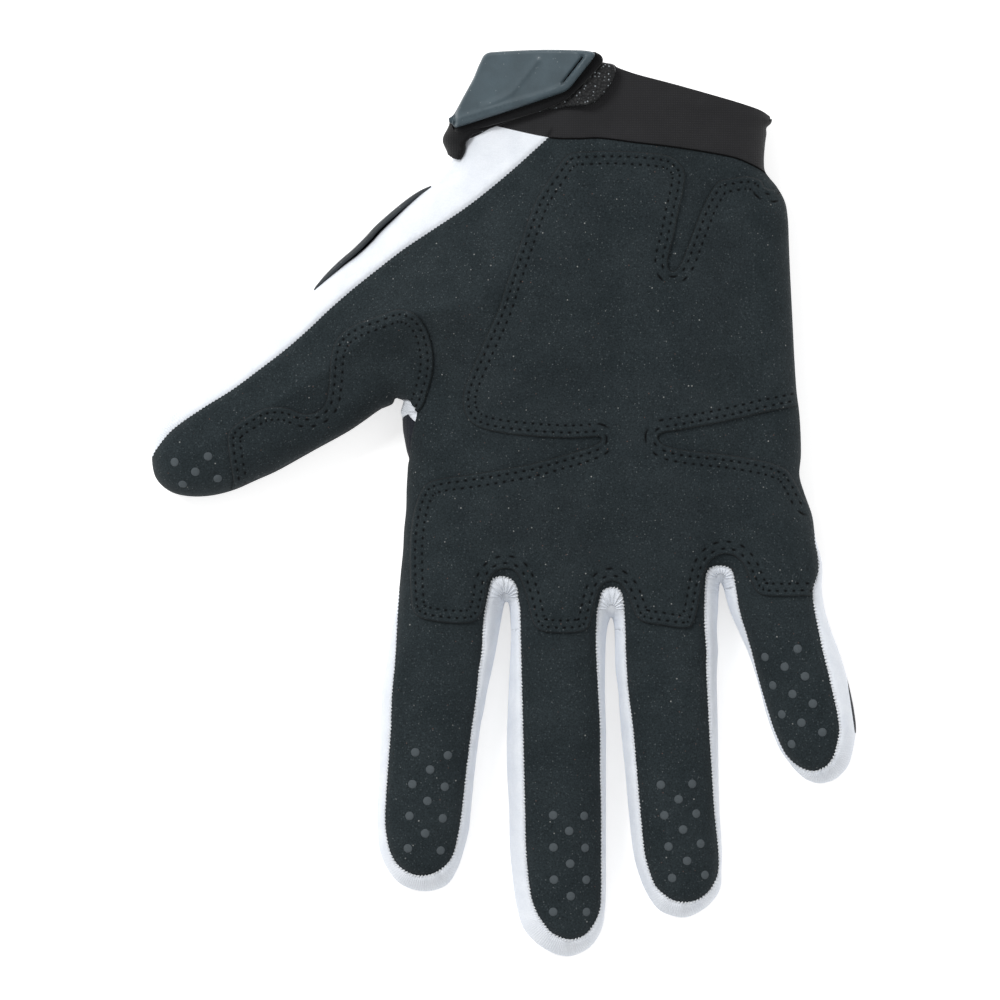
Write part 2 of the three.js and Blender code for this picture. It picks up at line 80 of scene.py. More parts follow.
def plan(points):
    """Points of the photograph as millimetres in the plan of the glove."""
    p = np.asarray(points, float).reshape(-1, 2)
    return np.stack([(p[:, 0] - PHOTO_CENTRE) * PIXEL, (PHOTO_CENTRE - p[:, 1]) * PIXEL], 1)


# Rows across the fingers of the photograph: height, outer edge, edge of the dark front, its other edge, outer edge
FINGER_ROWS = {
    "index": [
        (590, 399, 400, 488, 503), (610, 396, 398, 485, 503), (630, 392, 397, 483, 499.5), (650, 389, 396, 482, 496),
        (670, 385.5, 394.5, 479, 492), (690, 382, 392.5, 477, 487.5), (710, 381, 391.5, 474.5, 484),
        (730, 380, 391, 471.5, 480), (770, 379, 388, 466.5, 475), (810, 377, 385.5, 462, 471),
        (830, 377.5, 386, 459, 469),
    ],
    "middle": [
        (610, 512, 520, 597, 609), (630, 511, 520.5, 596, 607), (650, 510.5, 521, 596, 605.5),
        (690, 508.5, 522, 598, 605), (730, 507, 523, 600, 606), (770, 507, 524, 600, 606), (810, 509, 525, 601, 606),
        (850, 510, 526, 601, 606), (890, 514, 530, 601, 606),
    ],
    "ring": [
        (610, 613, 624, 704, 718), (630, 614.5, 625, 704.5, 717), (650, 615, 625.5, 706, 718),
        (670, 615.5, 626.5, 706, 717), (690, 618, 628, 707, 717), (730, 621, 633, 709, 718),
        (770, 625, 636.5, 711.5, 718.5), (810, 628.5, 640, 714, 719.5), (850, 633, 644, 718, 722),
        (870, 637.5, 649, 718, 721.5),
    ],
    "little": [
        (590, 724, 736, 812, 822), (610, 729.5, 739, 814, 825), (630, 738, 745, 818, 831), (650, 747, 751, 822, 838.5),
        (670, 754, 756, 827, 845), (690, 760, 761.5, 831.5, 850), (710, 765, 767.5, 836, 854),
        (730, 771.5, 774, 838.5, 856), (750, 780, 783, 834.5, 853),
    ],
}
# Round ends of the outline and of the dark front
FINGER_TIPS = {
    "index": ([(379.5, 850), (388, 870), (402, 885), (425, 891.5), (446, 885.5), (457, 870), (464, 850)],
              [(390, 850), (397, 863), (408, 871.5), (422, 875), (437, 871), (449, 861), (454.5, 850)]),
    "middle": ([(517.5, 910), (524.5, 930), (543, 948), (567, 956.5), (589, 948), (601.5, 930), (605, 910)],
               [(536, 910), (547, 927), (557, 935), (571, 938.5), (583, 935), (592, 926), (599.5, 910)]),
    "ring": ([(645, 890), (656, 907), (668, 914.5), (686, 917.5), (704, 909), (716, 897), (721, 885)],
             [(655, 885), (664, 894), (673, 899.5), (684, 901.5), (697, 899), (708, 891), (715, 880)]),
    "little": ([(790, 764), (797, 772), (807, 780), (820, 783.5), (834, 780), (844, 771.5), (849.5, 763)],
               [(788, 757), (794, 763), (803, 768.5), (814, 770.5), (824, 766.5), (829, 761.5), (832.5, 756)]),
}
# Crotches between the fingers: outline of the gap, and arch of the dark front round the white
GAPS = [
    [(504, 606), (505.2, 602.5), (509, 605)],
    [(609.5, 620), (611, 617.5), (613, 620)],
    [(719, 590), (720.5, 582.5), (723, 587)],
]
ARCHES = [
    [(491, 582), (495, 577.5), (500, 576), (506, 577), (513, 580.5), (517, 588), (518, 597)],
    [(600, 597), (602, 591), (606, 588), (612, 587), (618, 588.5), (621.5, 593), (623, 600)],
    [(705, 580), (707, 571), (711, 567), (718, 565.5), (727, 567), (731.5, 571), (734, 580)],
]
# Outline from the cuff along the white side of the thumb to its tip
THUMB_SIDE = [
    (456, 60), (456, 100), (454.5, 125), (453.5, 140), (453, 158), (449, 170), (441, 178.5), (432, 186), (420, 194.5),
    (408, 205), (395, 217.5), (381, 231), (370, 243), (357, 255), (345, 264), (330, 276), (322, 283), (313, 291.5),
    (296, 310), (276, 330), (252, 350), (227, 370), (201, 390), (177, 410), (160, 430), (153, 448),
]
# Dark outline round the end of the thumb, into the crotch and down to the index finger
THUMB_END = [
    (152, 461), (155, 476), (163, 486.5), (175, 493.5), (192, 496.5), (212, 495.5), (234, 490), (257, 480), (279, 470),
    (314, 450.5), (350, 430.5), (378, 411), (385, 407.5), (392.5, 404),
]
# White gusset and dark back that show in the crotch of the thumb
CROTCH_WHITE = [(395.5, 398.5), (400, 399.3), (403.3, 401), (402, 407), (400.8, 412)]
CROTCH_DARK = [(402.3, 419), (403, 430), (405, 442), (407, 452)]
PALM_SIDE = [
    (409, 459), (408, 465), (407.3, 475), (406.5, 490), (406, 510), (404, 530), (403, 550), (401, 570),
]
CROTCH_EDGE = [
    (380, 482), (395, 470), (409, 459), (409.8, 450), (411, 440), (413, 430), (415.5, 421.5), (417, 415), (417, 408.5),
    (413, 406.5), (410, 401), (406, 399.6), (402, 400.2), (399.5, 403), (394, 410), (384, 420),
]
CROTCH_FOLD = [(390, 426), (402, 419), (405, 416), (408.5, 414.3), (411, 418), (415.5, 422), (424, 430), (424, 470),
               (390, 470)]
# Dark back that shows outside the little finger
BACK_SLIVER = [(846.5, 671), (848.3, 690), (851.3, 710), (854.6, 733), (875, 733), (875, 671)]
# Dark outline from the little finger up to the cuff
HEEL_SIDE = [
    (822.5, 575), (822, 562), (819, 550), (815, 535), (812, 515), (804, 492), (799.5, 475), (801, 455), (800.5, 430),
    (799, 410), (796.5, 390), (794.5, 360), (793, 330), (791.5, 300), (790, 270), (789, 245), (788, 220), (785, 202),
    (777, 187), (766, 173), (764, 162), (765, 145), (766.5, 134), (766.5, 128), (771, 123.5), (772, 119), (770, 114),
    (770, 60),
]
# Edge of the dark front against the white side of the thumb, from the tip to the cuff
THUMB_FRONT = [
    (147, 463), (152.5, 457), (157, 449), (173, 430), (201, 410), (233, 390), (260, 370), (286, 350), (309, 330),
    (330, 310), (353, 290), (378, 270), (404, 250), (434, 230), (464, 210), (490, 190), (514, 170), (532, 154),
    (548, 139.5), (552, 133),
]
# Seam between the hand and the cuff
WRIST_SEAM = [
    (380, 96), (456, 116.5), (499, 128), (548, 139.5), (576, 141), (600, 140.5), (636, 145), (673, 149), (709, 154),
    (733, 158.5), (748, 164), (762, 171), (772, 180), (780, 190), (787, 206), (800, 232), (860, 300),
]


def unit(vectors):
    """Vectors at a length of one."""
    return vectors / np.maximum(np.linalg.norm(vectors, axis=-1, keepdims=True), TINY)


def lengths(line):
    """How far along a line each of its points is."""
    return np.concatenate([[0], np.cumsum(np.linalg.norm(np.diff(line, axis=0), axis=1))])


def between(at, far, line):
    """Places on a line whose points are far along it."""
    return np.stack([np.interp(at, far, line[:, i]) for i in (0, 1)], 1)


def resample(line, step, closed=False):
    """Points at even steps along a line."""
    if closed:
        line = np.concatenate([line, line[:1]])
    far = lengths(line)
    at = np.linspace(0, far[-1], max(3, int(round(far[-1] / step))) + 1)
    return between(at[:-1] if closed else at, far, line)


def spline(points, step, closed=False):
    """Points at even steps along a smooth curve through the given ones."""
    p = np.asarray(points, float)
    if closed:
        p = np.concatenate([p[-1:], p, p[:2]])
    else:
        p = np.concatenate([2 * p[:1] - p[1:2], p, 2 * p[-1:] - p[-2:-1]])
    out = []
    for a, b, c, d in zip(p, p[1:], p[2:], p[3:]):
        k = max(2, int(np.linalg.norm(c - b) / step * 2))
        t = np.linspace(0, 1, k, endpoint=False)[:, None]
        out.append(0.5 * (2 * b + (c - a) * t + (2 * a - 5 * b + 4 * c - d) * t**2 + (3 * b - a - 3 * c + d) * t**3))
    if not closed:
        out.append(p[-2:-1])
    return resample(np.concatenate(out), step, closed)


def normals(line, closed=False):
    """Unit vectors to the left of the way along a line."""
    along = unit(np.roll(line, -1, 0) - np.roll(line, 1, 0) if closed else np.gradient(line, axis=0))
    return np.stack([-along[:, 1], along[:, 0]], 1)


def inside(points, polygon):
    """Whether each point is in a polygon."""
    x, y = points[:, 0], points[:, 1]
    hit = np.zeros(len(points), bool)
    a, b = polygon, np.roll(polygon, -1, 0)
    for (ax, ay), (bx, by) in zip(a, b):
        if ay == by:
            continue
        crosses = (ay > y) != (by > y)
        hit ^= crosses & (x < (bx - ax) * (y - ay) / (by - ay) + ax)
    return hit


class Line:
    """A polyline that answers how far points are from it and where along it."""

    def __init__(self, points):
        self.points = np.asarray(points, float)
        self.along = lengths(self.points)
        self.tree = kdtree.KDTree(len(self.points))
        for i, (x, y) in enumerate(self.points):
            self.tree.insert((x, y, 0), i)
        self.tree.balance()

    def nearest(self, queries):
        found = np.array([self.tree.find((x, y, 0))[1] for x, y in queries], int)
        best = np.full(len(queries), np.inf)
        where = np.zeros(len(queries))
        for shift in (-1, 0):
            i = found + shift
            ok = (i >= 0) & (i < len(self.points) - 1)
            j = np.where(ok, i, 0)
            a = self.points[j]
            ab = self.points[j + 1] - a
            t = np.einsum("ij,ij->i", queries - a, ab) / np.maximum(np.einsum("ij,ij->i", ab, ab), TINY)
            t = np.clip(t, 0, 1)
            far = np.linalg.norm(queries - a - ab * t[:, None], axis=1)
            better = ok & (far < best)
            best = np.where(better, far, best)
            where = np.where(better, self.along[j] + t * np.linalg.norm(ab, axis=1), where)
        return best, where


# Outline of the hand from the cuff round the thumb and the fingers and back, with the piece that each stretch is on
OUTLINE_STEP = 0.3
SEAM_STEP = 0.28
FINGERS = list(FINGER_ROWS)
corners, owners = [], []


def finger_outline(name):
    """Outer edge of a finger, down one side, round its tip and up the other."""
    rows = FINGER_ROWS[name]
    left = rows[1:] if name in ("middle", "ring") else rows
    right = rows[1:] if name in ("index", "middle") else rows
    return [(r[1], r[0]) for r in left] + FINGER_TIPS[name][0] + [(r[4], r[0]) for r in reversed(right)]


def add_stretch(points, owner):
    """Adds corners to the outline, as the edge of a node."""
    corners.extend(points)
    owners.extend([owner] * len(points))


add_stretch(THUMB_SIDE, "thumb_gusset")
add_stretch(THUMB_END, "palm_panel")
add_stretch(CROTCH_WHITE, "thumb_gusset")
add_stretch(CROTCH_DARK, "back_panel")
add_stretch(PALM_SIDE, "palm_panel")
for order, name in enumerate(FINGERS):
    add_stretch(finger_outline(name), "side_wall_" + name)
    if order < len(GAPS):
        add_stretch(GAPS[order], "side_wall_" + name)
add_stretch(HEEL_SIDE, "palm_panel")
corners = plan(corners)
outline = spline(corners, OUTLINE_STEP)
outline_line = Line(outline)
corner_at = outline_line.nearest(corners)[1]


def owner_of(where):
    """Piece that owns each place along the outline."""
    i = np.clip(np.searchsorted(corner_at, where, side="right") - 1, 0, len(owners) - 1)
    return np.array(owners, object)[i]


# How far up the fingers the dark front follows their rows, on the left and on the right, before it turns into an arch
FRONT_FROM = (600, 595)


def finger_front(name, order):
    """Edge of the dark front of a finger."""
    rows = FINGER_ROWS[name]
    left = [(r[2], r[0]) for r in rows if order == 0 or r[0] > FRONT_FROM[0]]
    right = [(r[3], r[0]) for r in reversed(rows) if r[0] > FRONT_FROM[1] or order == len(FINGERS) - 1]
    return left + FINGER_TIPS[name][1] + right


front = []
for order, name in enumerate(FINGERS):
    front += finger_front(name, order)
    if order < len(ARCHES):
        front += ARCHES[order]
FRONT_START = [(394, 586), (399, 588)]
FRONT_END = [(817.5, 572), (817, 555), (814.5, 540), (816, 525), (824, 512)]
TOOTH_PITCH = 0.9
TOOTH_HEIGHT = 0.13


def toothed(points):
    """A seam's edge through the points, drawn in at each stitch."""
    line = spline(plan(points), SEAM_STEP)
    turn = 2 * math.pi * lengths(line) / TOOTH_PITCH
    return line + normals(line) * (TOOTH_HEIGHT * np.sin(turn))[:, None]


front_edge = toothed(FRONT_START + front[1:] + FRONT_END)
thumb_edge = toothed(THUMB_FRONT)
OUTSIDE_LEFT = np.concatenate([plan([(388, 575), (388, 500)]), spline(plan(CROTCH_EDGE), SEAM_STEP),
                               plan([(330, 470), (240, 512), (180, 515), (138, 495)])])
OUTSIDE_RIGHT = plan([(840, 500), (840, 400), (840, 110)])
dark_area = np.concatenate([front_edge, OUTSIDE_RIGHT, thumb_edge[::-1], OUTSIDE_LEFT[::-1]])
seam_edge = spline(plan(WRIST_SEAM), 0.5)
hand_area = np.concatenate([seam_edge, plan([(900, 1000), (100, 1000), (100, 96)])])
front_line = Line(front_edge)
thumb_line = Line(thumb_edge)
seam_line = Line(seam_edge)


def soft(low, high, value):
    """Smooth step from 0 at low to 1 at high."""
    t = np.clip((value - low) / (high - low), 0, 1)
    return t * t * (3 - 2 * t)


def bell(value, centre, width):
    """Smooth bump with a height of 1."""
    return np.exp(-(((value - centre) / width) ** 2))


def dome(share):
    """Quarter of a round arch, from 0 at its foot to 1."""
    return np.sqrt(np.clip(1 - (1 - np.clip(share, 0, 1)) ** 2, 0, 1))


def wave(points, size, seed):
    """Smooth unevenness of the cloth, from -1 to 1."""
    return np.array([noise.noise((x / size, y / size, seed)) for x, y in points])


HOLLOW_AT = plan([HOLLOW_PLACE])[0]
THENAR_AT = plan([THENAR_PLACE])[0]

# Share of the palm's rise down the hand, by height in the photograph
RISE_SHARE = [(60, 0.9), (140, 0.9), (200, 1.0), (240, 1.04), (300, 1.04), (360, 0.93), (420, 0.74), (480, 0.5),
              (530, 0.28), (567, 0.14), (600, 0)]
FINGER_SHARE = [(600, 1), (780, 0.97), (955, 0.91)]
CUFF_SHARE = [(60, 1), (125, 1), (230, 0), (600, 0)]
# Unevenness of the cloth: height, size and seed
UNEVEN = [(0.55, 17, 3.1), (0.28, 7, 8.7), (0.08, 2.6, 5.2)]
CALM_EDGE = (0.5, 5)
# Dip along the seams and the low swell beside it, and how far in from the outline the dip is full
SEAM_DIP, DIP_WIDTH, DIP_FULL = 0.55, 0.45, 1.2
SWELL, SWELL_AT, SWELL_WIDTH = 0.22, 1.5, 0.8


def by_height(table, y):
    """Value of a table for heights in the plan."""
    rows = np.array(table, float)
    levels = plan(np.stack([rows[:, 0]] * 2, 1))[:, 1]
    return np.interp(-y, -levels, rows[:, 1])


def body_top(points, edge_distance):
    """Height of the hand's upper side before its seams."""
    x, y = points[:, 0], points[:, 1]
    rise = PALM_RISE * soft(RISE_FROM, RISE_TO, edge_distance) * by_height(RISE_SHARE, y)
    top = FINGER_TOP * by_height(FINGER_SHARE, y) + rise
    top -= PALM_HOLLOW * bell(x, HOLLOW_AT[0], HOLLOW_SIZE[0]) * bell(y, HOLLOW_AT[1], HOLLOW_SIZE[1])
    thenar = bell(x, THENAR_AT[0], THENAR_SIZE) * bell(y, THENAR_AT[1], THENAR_SIZE)
    top += THENAR_RISE * thenar * soft(*THENAR_EDGE, edge_distance)
    return WIDEST + (top - WIDEST) * dome(edge_distance / TOP_ROUND)


def from_outline(points):
    """Distance in from the outline, none for the points on it."""
    distance, _ = outline_line.nearest(points)
    return np.where(distance < ON_EDGE, 0, distance)


def surface(points):
    """Height of the finished cloth of the palm side, uneven and with the dip along the seams."""
    distance = from_outline(points)
    uneven = sum(height * wave(points, size, seed) for height, size, seed in UNEVEN)
    seams = np.minimum(front_line.nearest(points)[0], thumb_line.nearest(points)[0])
    dip = SEAM_DIP * bell(seams, 0, DIP_WIDTH) - SWELL * bell(seams, SWELL_AT, SWELL_WIDTH)
    return body_top(points, distance) + soft(*CALM_EDGE, distance) * uneven - soft(0, DIP_FULL, distance) * dip


def back_height(points, distance):
    """Height of the glove's back. The cuff lifts a little off the floor."""
    lift = CUFF_LIFT * by_height(CUFF_SHARE, points[:, 1])
    return WIDEST * (1 - dome(distance / UNDER_ROUND)) * (1 - lift / WIDEST) + lift


# Distance in from the outline at which the underside comes down to the dark back
BACK_INSET = UNDER_ROUND * (1 - math.sqrt(1 - (1 - SIDE_LOW / WIDEST) ** 2))


# Gap between the rows of a grid of even triangles, as a share of its step
ROW_GAP = 0.866


def grid_over(polygon, step):
    """Grid of even triangles over a polygon's box."""
    low, high = polygon.min(0), polygon.max(0)
    rows = []
    for j, y in enumerate(np.arange(low[1], high[1], step * ROW_GAP)):
        xs = np.arange(low[0] + (j % 2) * step / 2, high[0], step)
        rows.append(np.stack([xs, np.full(len(xs), y)], 1))
    return np.concatenate(rows)


def turn_of(area):
    """1 for an area whose outline runs anticlockwise, else -1."""
    after = np.roll(area, -1, 0)
    return np.sign(np.sum(area[:, 0] * after[:, 1] - area[:, 1] * after[:, 0]))


def dense(area, step=0.8):
    """Area with points added along its long edges."""
    out = []
    for a, b in zip(area, np.roll(area, -1, 0)):
        count = max(1, int(np.linalg.norm(b - a) / step))
        out.append(a + (b - a) * np.linspace(0, 1, count, endpoint=False)[:, None])
    return np.concatenate(out)


def triangulate(areas, extra):
    """Triangles over overlapping areas. Returns points, triangles and which areas hold each triangle."""
    areas = [dense(area if turn_of(area) > 0 else area[::-1]) for area in areas]
    points = np.concatenate([*areas, extra])
    faces, start = [], 0
    for area in areas:
        faces.append(list(range(start, start + len(area))))
        start += len(area)
    verts, _, tris, _, _, homes = delaunay_2d_cdt([Vector(p) for p in points], [], faces, 0, 1e-5, True)
    verts = np.array([tuple(v) for v in verts])
    held = np.zeros((len(tris), len(areas)), bool)
    for i, home in enumerate(homes):
        held[i, home] = True
    return verts, np.array([list(t) for t in tris]), held


def make_mesh(name, verts, faces, uv=None):
    """Object of a mesh given in millimetres, without the points that its faces leave out."""
    faces = np.asarray(faces)
    used, index = np.unique(faces, return_inverse=True)
    mesh = bpy.data.meshes.new(name)
    mesh.from_pydata((np.asarray(verts)[used] * METRE).tolist(), [], index.reshape(faces.shape).tolist())
    if uv is not None:
        layer = mesh.uv_layers.new(name="cloth")
        loops = np.zeros(len(mesh.loops), int)
        mesh.loops.foreach_get("vertex_index", loops)
        layer.data.foreach_set("uv", (np.asarray(uv)[used][loops] * METRE).ravel())
    mesh.shade_smooth()
    mesh.validate()
    made = bpy.data.objects.new(name, mesh)
    bpy.context.scene.collection.objects.link(made)
    return made


def thicken(piece, thickness):
    """Gives a sheet the thickness of its cloth, inward."""
    solid = piece.modifiers.new("cloth", "SOLIDIFY")
    solid.thickness = thickness * METRE
    solid.offset = -1
    solid.use_even_offset = False


def finish_piece(piece, material, slot, *nodes):
    """Puts a piece on the glove, in place of the nodes that it stands for."""
    piece.data.materials.clear()
    piece.data.materials.append(material)
    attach(piece, "root")
    if nodes:
        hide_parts(*nodes)


# Rows of stitches in from the edge of a pad, and the stitches in millimetres
STITCH_ROWS = (1.3, 3.0)
STITCH_PITCH = 2.0
STITCH_HALF = (0.5, 0.22, 0.1)


# Length of the waves of a wave texture at a scale of 1
WAVE_TURN = 0.314


def linear(r, g, b):
    """Colour of a surface from 0 to 255 screen values."""
    def one(c):
        c /= 255
        return c / 12.92 if c <= 0.04045 else ((c + 0.055) / 1.055) ** 2.4
    return one(r), one(g), one(b), 1


class Shader:
    """A material's nodes, made by name and joined by socket."""

    def __init__(self, name, roughness, sheen=0.0, specular=0.5):
        self.material = bpy.data.materials.new(name)
        self.material.use_nodes = True
        self.tree = self.material.node_tree
        self.bsdf = self.tree.nodes["Principled BSDF"]
        self.bsdf.inputs["Roughness"].default_value = roughness
        self.bsdf.inputs["Sheen Weight"].default_value = sheen
        self.bsdf.inputs["Sheen Roughness"].default_value = 0.5
        self.bsdf.inputs["Specular IOR Level"].default_value = specular
        self.place = self.add("ShaderNodeTexCoord").outputs["Object"]

    def add(self, kind, **values):
        made = self.tree.nodes.new(kind)
        for key, value in values.items():
            setattr(made, key, value)
        return made

    def join(self, source, target):
        self.tree.links.new(source, target)

    def noise(self, size, detail=3, roughness=0.6):
        made = self.add("ShaderNodeTexNoise")
        made.inputs["Scale"].default_value = 1 / (size * METRE)
        made.inputs["Detail"].default_value = detail
        made.inputs["Roughness"].default_value = roughness
        self.join(self.place, made.inputs["Vector"])
        return made.outputs["Fac"]

    def ramp(self, source, *stops):
        made = self.add("ShaderNodeValToRGB")
        band = made.color_ramp
        while len(band.elements) < len(stops):
            band.elements.new(0.5)
        for element, (at, colour) in zip(band.elements, stops):
            element.position = at
            element.color = colour if isinstance(colour, tuple) else (colour, colour, colour, 1)
        self.join(source, made.inputs["Fac"])
        return made.outputs["Color"]

    def mix(self, factor, a, b, blend="MIX"):
        made = self.add("ShaderNodeMix", data_type="RGBA", blend_type=blend)
        for socket, value in ((made.inputs[0], factor), (made.inputs[6], a), (made.inputs[7], b)):
            if isinstance(value, bpy.types.NodeSocket):
                self.join(value, socket)
            else:
                socket.default_value = value
        return made.outputs[2]

    def math(self, operation, a, b=0.0):
        made = self.add("ShaderNodeMath", operation=operation)
        for socket, value in zip(made.inputs, (a, b)):
            if isinstance(value, bpy.types.NodeSocket):
                self.join(value, socket)
            else:
                socket.default_value = value
        return made.outputs[0]

    def cells(self, size):
        """Distance from the middles of uneven cells of a size, and a value for each cell."""
        made = self.add("ShaderNodeTexVoronoi")
        made.inputs["Scale"].default_value = 1 / (size * METRE)
        self.join(self.place, made.inputs["Vector"])
        return made.outputs["Distance"], made.outputs["Color"]

    def specks(self, size, near, far, share, spread=0.1):
        """Specks in some cells of a size, full up to near and gone at far, and the distance that they come from."""
        distance, value = self.cells(size)
        speck = self.ramp(distance, (near, 1.0), (far, 0.0))
        some = self.ramp(value, (share, 0.0), (share + spread, 1.0))
        return self.mix(1.0, speck, some, "MULTIPLY"), distance

    def bands(self, size, direction, vector, distortion, detail=2.0):
        """Waves of a length in millimetres along X or Y."""
        made = self.add("ShaderNodeTexWave", wave_type="BANDS", bands_direction=direction)
        made.inputs["Scale"].default_value = WAVE_TURN / (size * METRE)
        made.inputs["Distortion"].default_value = distortion
        made.inputs["Detail"].default_value = detail
        self.join(vector, made.inputs["Vector"])
        return made.outputs["Fac"]

    def cloth_uv(self):
        """Place along and across the cloth."""
        return self.add("ShaderNodeUVMap", uv_map="cloth").outputs["UV"]

    def colour(self, source):
        self.join(source, self.bsdf.inputs["Base Color"])

    def bump(self, height, depth, strength=1.0):
        """Raises the surface by up to a depth in millimetres."""
        made = self.add("ShaderNodeBump")
        made.inputs["Strength"].default_value = strength
        made.inputs["Distance"].default_value = depth * METRE
        self.join(height, made.inputs["Height"])
        if self.bsdf.inputs["Normal"].is_linked:
            self.join(self.bsdf.inputs["Normal"].links[0].from_socket, made.inputs["Normal"])
        self.join(made.outputs["Normal"], self.bsdf.inputs["Normal"])


def shades(colour, darker, lighter):
    """A colour made darker and lighter."""
    return [tuple(min(1, c * share) for c in colour[:3]) + (1,) for share in (darker, lighter)]


# Lint on the suede: spacing, size as a share of it, colour, and how much of it stays away
LINT = (
    (2.6, 0.09, linear(150, 152, 150), 0.5), (1.3, 0.14, linear(104, 109, 110), 0.45),
    (0.75, 0.3, linear(68, 75, 78), 0.38), (1.9, 0.1, linear(98, 76, 70), 0.6),
)
# Shade in the pits of the stitches and on the cut edge of a pad, and how far it reaches
PIT_SHADE = linear(8, 9, 10)
PIT_REACH = 0.42
RIM_REACH = 0.22


def stitched_shade(s, cloth):
    """Cloth made darker in the pits of its two rows of stitches and along its edge."""
    place = s.add("ShaderNodeSeparateXYZ")
    s.join(s.cloth_uv(), place.inputs[0])
    along, across = place.outputs["X"], place.outputs["Y"]
    pits = 0.0
    for order, row in enumerate(STITCH_ROWS):
        turn = s.math("ADD", s.math("MULTIPLY", along, 2 * math.pi / (STITCH_PITCH * METRE)), -math.pi * order)
        beat = s.math("ADD", s.math("MULTIPLY", s.math("COSINE", turn), 0.7), 0.1)
        off = s.math("ABSOLUTE", s.math("SUBTRACT", across, row * METRE))
        near = s.math("SUBTRACT", 1.0, s.math("MULTIPLY", off, 1 / (PIT_REACH * METRE)))
        pit = s.math("MULTIPLY", s.math("MAXIMUM", near, 0.0), s.math("MAXIMUM", beat, 0.0))
        pits = s.math("MAXIMUM", pit, pits)
    cloth = s.mix(s.math("MINIMUM", s.math("MULTIPLY", pits, 1.6), 0.92), cloth, PIT_SHADE)
    rim = s.math("SUBTRACT", 1.0, s.math("MULTIPLY", across, 1 / (RIM_REACH * METRE)))
    return s.mix(s.math("MULTIPLY", s.math("MAXIMUM", rim, 0.0), 0.8), cloth, PIT_SHADE)


def suede_material(name, stitched=False):
    """Napped dark suede with cloudy shade, fine grain and pale lint, darker in the pits of its stitches."""
    s = Shader(name, 0.95, sheen=0.04, specular=0.1)
    cloud = s.ramp(s.noise(9, 4), (0.35, linear(35, 42, 45)), (0.65, linear(41, 48, 51)))
    grain = s.ramp(s.noise(0.4, 3, 0.8), (0.3, 0.5), (0.7, 1.5))
    cloth = s.mix(1.0, cloud, grain, "MULTIPLY")
    for size, reach, bright, share in LINT:
        cloth = s.mix(s.specks(size, 0.02, reach, share)[0], cloth, bright)
    s.colour(stitched_shade(s, cloth) if stitched else cloth)
    s.bump(s.noise(0.5, 3, 0.7), 0.1)
    return s.material


RIB_SIZE = 0.62
# Colour of the painted shade in the creases of the white ribs
RIB_SHADE = linear(176, 182, 192)
KNIT_SIZE = 0.36


def white_material(name, low, high):
    """White stretch knit, gathered into ribs where its edge turns, with painted shade in the creases of the ribs."""
    s = Shader(name, 0.75, sheen=0.05, specular=0.25)
    shade = s.ramp(s.noise(5, 3), (0.3, low), (0.7, high))
    ribbed = s.add("ShaderNodeAttribute", attribute_name="ribs").outputs["Fac"]
    gathered = s.math("MULTIPLY", s.bands(RIB_SIZE, "X", s.cloth_uv(), 0.8, 1.0), ribbed)
    knit, _ = s.cells(KNIT_SIZE)
    cloth = s.mix(0.1, shade, s.ramp(knit, (0.2, 1.0), (0.7, 0.6)), "MULTIPLY")
    # Painted shade in the creases of the ribs, strongest over the finger tips and the crotches
    s.colour(s.mix(s.math("MULTIPLY", gathered, 0.14), cloth, RIB_SHADE))
    s.bump(gathered, 0.1)
    s.bump(knit, 0.03)
    return s.material


def weave_material(name, colour, size, depth):
    """Fine woven cloth."""
    s = Shader(name, 0.85, sheen=0.05, specular=0.25)
    weave = s.math("MULTIPLY", *(s.bands(size, direction, s.place, 0.4) for direction in ("X", "Y")))
    base = s.mix(weave, *shades(colour, 0.8, 1.25))
    s.colour(s.mix(0.5, base, s.ramp(s.noise(6, 4), (0.3, 0.55), (0.7, 1.0)), "MULTIPLY"))
    s.bump(weave, depth)
    s.bump(s.noise(0.4, 2), depth * 0.6)
    return s.material


def rubber_material(name, colour):
    """Moulded rubber with a fine grain and a few scuffs."""
    s = Shader(name, 0.5, specular=0.4)
    dark, light = shades(colour, 0.85, 1.12)
    base = s.ramp(s.noise(7, 4), (0.35, dark), (0.65, light))
    s.colour(s.mix(s.specks(1.3, 0.0, 0.13, 0.42)[0], base, linear(150, 158, 160)))
    s.join(s.ramp(s.noise(1.5, 4), (0.3, 0.38), (0.7, 0.62)), s.bsdf.inputs["Roughness"])
    s.bump(s.noise(0.35, 2), 0.03)
    return s.material


def hook_material(name):
    """Hook tape: black loops with pale glints."""
    s = Shader(name, 0.6, specular=0.4)
    glints, loops = s.specks(0.75, 0.15, 0.3, 0.48, 0.12)
    s.colour(s.mix(glints, linear(5, 7, 10), linear(150, 157, 162)))
    s.bump(loops, 0.35)
    return s.material


def thread_material(name, colour):
    """Twisted thread or a printed dot of rubber."""
    s = Shader(name, 0.85, specular=0.1)
    s.colour(s.mix(s.noise(0.5, 2), *shades(colour, 0.7, 1)))
    s.bump(s.noise(0.15, 1), 0.03)
    return s.material


SUEDE = suede_material("suede")
PAD_SUEDE = suede_material("pad suede", True)
WHITE = white_material("white gusset", linear(226, 231, 238), linear(236, 240, 246))
WHITE_SIDE = white_material("white finger sides", linear(225, 230, 238), linear(236, 240, 246))
BACK = weave_material("back cloth", linear(31, 35, 44), 0.7, 0.08)
CUFF = weave_material("cuff cloth", linear(39, 39, 41), 0.55, 0.04)
STRAP = weave_material("strap cloth", linear(7, 8, 11), 0.6, 0.05)
RUBBER = rubber_material("moulded rubber", linear(66, 80, 87))
GUARD = rubber_material("guard rubber", linear(44, 50, 54))
THREAD = thread_material("dark thread", linear(7, 7, 8))
WHITE_THREAD = thread_material("white thread", linear(246, 249, 252))
DOT = thread_material("grip dots", linear(84, 91, 95))
HOOK = hook_material("hook cloth")


